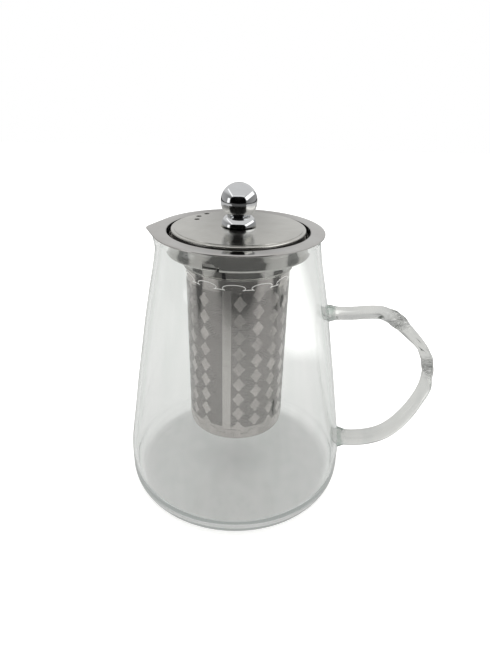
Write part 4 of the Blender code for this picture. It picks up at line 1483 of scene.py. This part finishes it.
    def probe(self, sheet: Sheet) -> tuple[bpy.types.NodeSocket, bpy.types.NodeSocket]:
        """Return where a mirror ball facing the tent's mouth would show each direction.

        Args:
            sheet: The world's sheet.

        Returns:
            The place across and up the ball, each from -1 to 1.
        """
        face = Vector((math.sin(self.turn) * math.cos(self.lift), -math.cos(self.turn) * math.cos(self.lift),
                       math.sin(self.lift)))
        side = Vector((math.cos(self.turn), math.sin(self.turn), 0.0))
        up = face.cross(side)
        both = sheet.add("ShaderNodeVectorMath", operation="ADD")
        sheet.feed(both.inputs[0], sheet.add("ShaderNodeTexCoord").outputs["Generated"])
        both.inputs[1].default_value = face
        half = sheet.add("ShaderNodeVectorMath", operation="NORMALIZE")
        sheet.feed(half.inputs[0], both.outputs[0])
        places = []
        for axis in (side, up):
            dot = sheet.add("ShaderNodeVectorMath", operation="DOT_PRODUCT")
            sheet.feed(dot.inputs[0], half.outputs[0])
            dot.inputs[1].default_value = axis
            places.append(dot.outputs["Value"])
        return places[0], places[1]

    @staticmethod
    def seam(sheet: Sheet, across: bpy.types.NodeSocket, rise: bpy.types.NodeSocket, middle: Point,
             length: float, width: float, turn: float, strength: float) -> bpy.types.NodeSocket:
        """Return the glow of one bright seam of the tent."""
        off = (sheet.minus(across, middle[0]), sheet.minus(rise, middle[1]))
        cosine, sine = math.cos(math.radians(turn)), math.sin(math.radians(turn))
        along = sheet.plus(sheet.times(off[0], cosine), sheet.times(off[1], sine))
        aside = sheet.minus(sheet.times(off[1], cosine), sheet.times(off[0], sine))
        ends = sheet.spread(sheet.math("ABSOLUTE", along), length / 2, length / 2 + 0.03, strength, 0.0)
        return sheet.times(ends, sheet.spread(sheet.math("ABSOLUTE", aside), width / 2, width / 2 + 0.02,
                                              1.0, 0.0))

    def build_light(self, name: str, place: Vector, aim: Vector, size: Point, power: float) -> None:
        """Hang one soft panel of light.

        Args:
            name: Name of the light.
            place: Where it hangs.
            aim: The point it faces.
            size: Its width and height.
            power: Its power in watts.
        """
        data = bpy.data.lights.new(name, "AREA")
        data.shape = "RECTANGLE"
        data.size, data.size_y = size
        data.energy = power
        light = bpy.data.objects.new(name, data)
        light.visible_glossy = False
        light.visible_transmission = False
        light.location = place
        light.rotation_mode = "QUATERNION"
        light.rotation_quaternion = (aim - place).to_track_quat("-Z", "Y")
        bpy.context.scene.collection.objects.link(light)

    def build(self) -> None:
        """Set up the whole studio."""
        bpy.context.scene.view_settings.view_transform = "Standard"
        self.build_camera()
        self.build_floor()
        self.build_world()
        self.build_light("top_panel", Vector((0.0, 0.05, 0.9)), Vector((0.0, 0.0, 0.08)), (0.7, 0.7), 3.0)


# ---------------------------------------------------------------- putting it together


def dress_frame(nodes: dict[str, bpy.types.Object], finishes: dict[str, bpy.types.Material]) -> None:
    """Give the frame nodes that stay their finished materials.

    Args:
        nodes: The frame's nodes by name.
        finishes: Material for each node name that stays in view.
    """
    for name, material in finishes.items():
        item = nodes[name]
        for slot in item.material_slots:
            slot.material = material
        LOG.info("%s keeps its frame mesh in %s", name, material.name)


def handle_marks() -> tuple[tuple[Spot, ...], tuple[Spot, ...]]:
    """Return where the handle's twisted glass gets painted shade and where it is welded on, each with its
    reach.
    """
    low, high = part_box("glass_handle")
    reach, rise = high.x - low.x, high.z - low.z
    shaded_twists = tuple((Vector((low.x + out * reach, 0.0, low.z + up * rise)), size)
                  for out, up, size in ((0.62, 0.93, 0.0085), (0.93, 0.62, 0.0080)))
    welds = ((Vector((low.x, 0.0, low.z + 0.96 * rise)), 0.0075),
             (Vector((low.x + LOWER_WELD_OUT, 0.0, low.z + 0.05 * rise)), 0.0090))
    return shaded_twists, welds


def main() -> None:
    """Build the teapot and its studio."""
    logging.basicConfig(level=logging.INFO, format="%(name)s: %(message)s")
    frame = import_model()
    Studio().build()
    # Both glasses darken towards their edge colour as painted shade and carry a painted glow inside their
    # walls.
    clear = Glass("clear_glass", (0.985, 0.992, 0.986), (0.945, 0.962, 0.950), 0.00009,
                  (0.70, 0.76, 0.72)).build()
    # The handle's glass gets painted shade streaked over its twists.
    shaded_twists, welds = handle_marks()
    rod = Glass("handle_glass", (0.76, 0.765, 0.745), (0.68, 0.69, 0.675), 0.00016, (0.28, 0.29, 0.28),
                (0.10, 0.11, 0.10), 0.0, shaded_twists, welds).build()
    collar = Collar()
    # The collar's well is painted near-black as shade, inside the well wall and below the flange top.
    polished = Steel("polished_steel", (0.62, 0.61, 0.59), (0.54, 0.52, 0.50), 0.06, Grain.SPUN, 0.000004,
                     0.0, 1.0, collar.well + WELL_SKIN, collar.top - WELL_SHADE).build()
    lid_steel = Steel("lid_steel", (0.68, 0.67, 0.63), (0.60, 0.59, 0.55), 0.15, Grain.SPUN, 0.00001).build()
    satin = Steel("satin_steel", (0.66, 0.65, 0.63), (0.56, 0.55, 0.53), 0.32, Grain.ROLLED, 0.00001).build()
    # The lid ring's steel: painted glow on its outer wall below a level just above the collar's window,
    # painted near-black shade on its inward lip.
    skirt = Steel("skirt_steel", (0.72, 0.71, 0.69), (0.62, 0.61, 0.59), 0.32, Grain.ROLLED, 0.00001, 0.12,
                  collar.top - WINDOW_DROP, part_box("lid_skirt")[1].y - SKIRT_SKIN).build()
    chrome = Steel("knob_chrome", (0.80, 0.81, 0.82), (0.72, 0.73, 0.74), 0.03, Grain.MIRROR,
                   0.000001).build()
    fixing = Steel("fixing_steel", (0.50, 0.50, 0.51), (0.40, 0.40, 0.41), 0.28, Grain.ROLLED).build()
    plain = Steel("seam_steel", (0.74, 0.71, 0.69), (0.66, 0.63, 0.61), 0.16, Grain.ROLLED).build()
    # Dark steel for the slot bars, painted shade where the open slots would be
    dark = Steel("slot_shadow", (0.34, 0.33, 0.32), (0.24, 0.235, 0.23), 0.22, Grain.ROLLED).build()
    # The upper scroll's steel glows with painted light.
    engraved = Steel("scroll_line", (0.90, 0.89, 0.87), (0.80, 0.79, 0.77), 0.40, Grain.ROLLED, 0.000004,
                     0.35).build()
    basket = Basket(plain, dark, engraved)
    # The sleeve is painted near-black as shade above the neck's foot.
    basket.etched = EtchedSteel("etched_steel", (0.70, 0.665, 0.645), (0.47, 0.445, 0.435), basket.columns,
                                basket.pitch, basket.diamond_width, basket.diamond_height,
                                basket.pattern_low, basket.pattern_high, basket.turn, basket.foot_radius,
                                collar.bottom + NECK_OVERLAP, basket.plain_column).build()
    PotGlass(clear, rod).build()
    collar.steel = polished
    collar.build()
    basket.build()
    Lid(lid_steel, skirt, chrome).build()
    dress_frame(frame["nodes"], {"basket_band": plain, "basket_floor": satin, "locking_stud_front": fixing,
                                 "locking_stud_back": fixing, "knob_screw": fixing, "knob_washer": fixing,
                                 "knob_lock_washer": fixing})


if __name__ == "__main__":
    main()
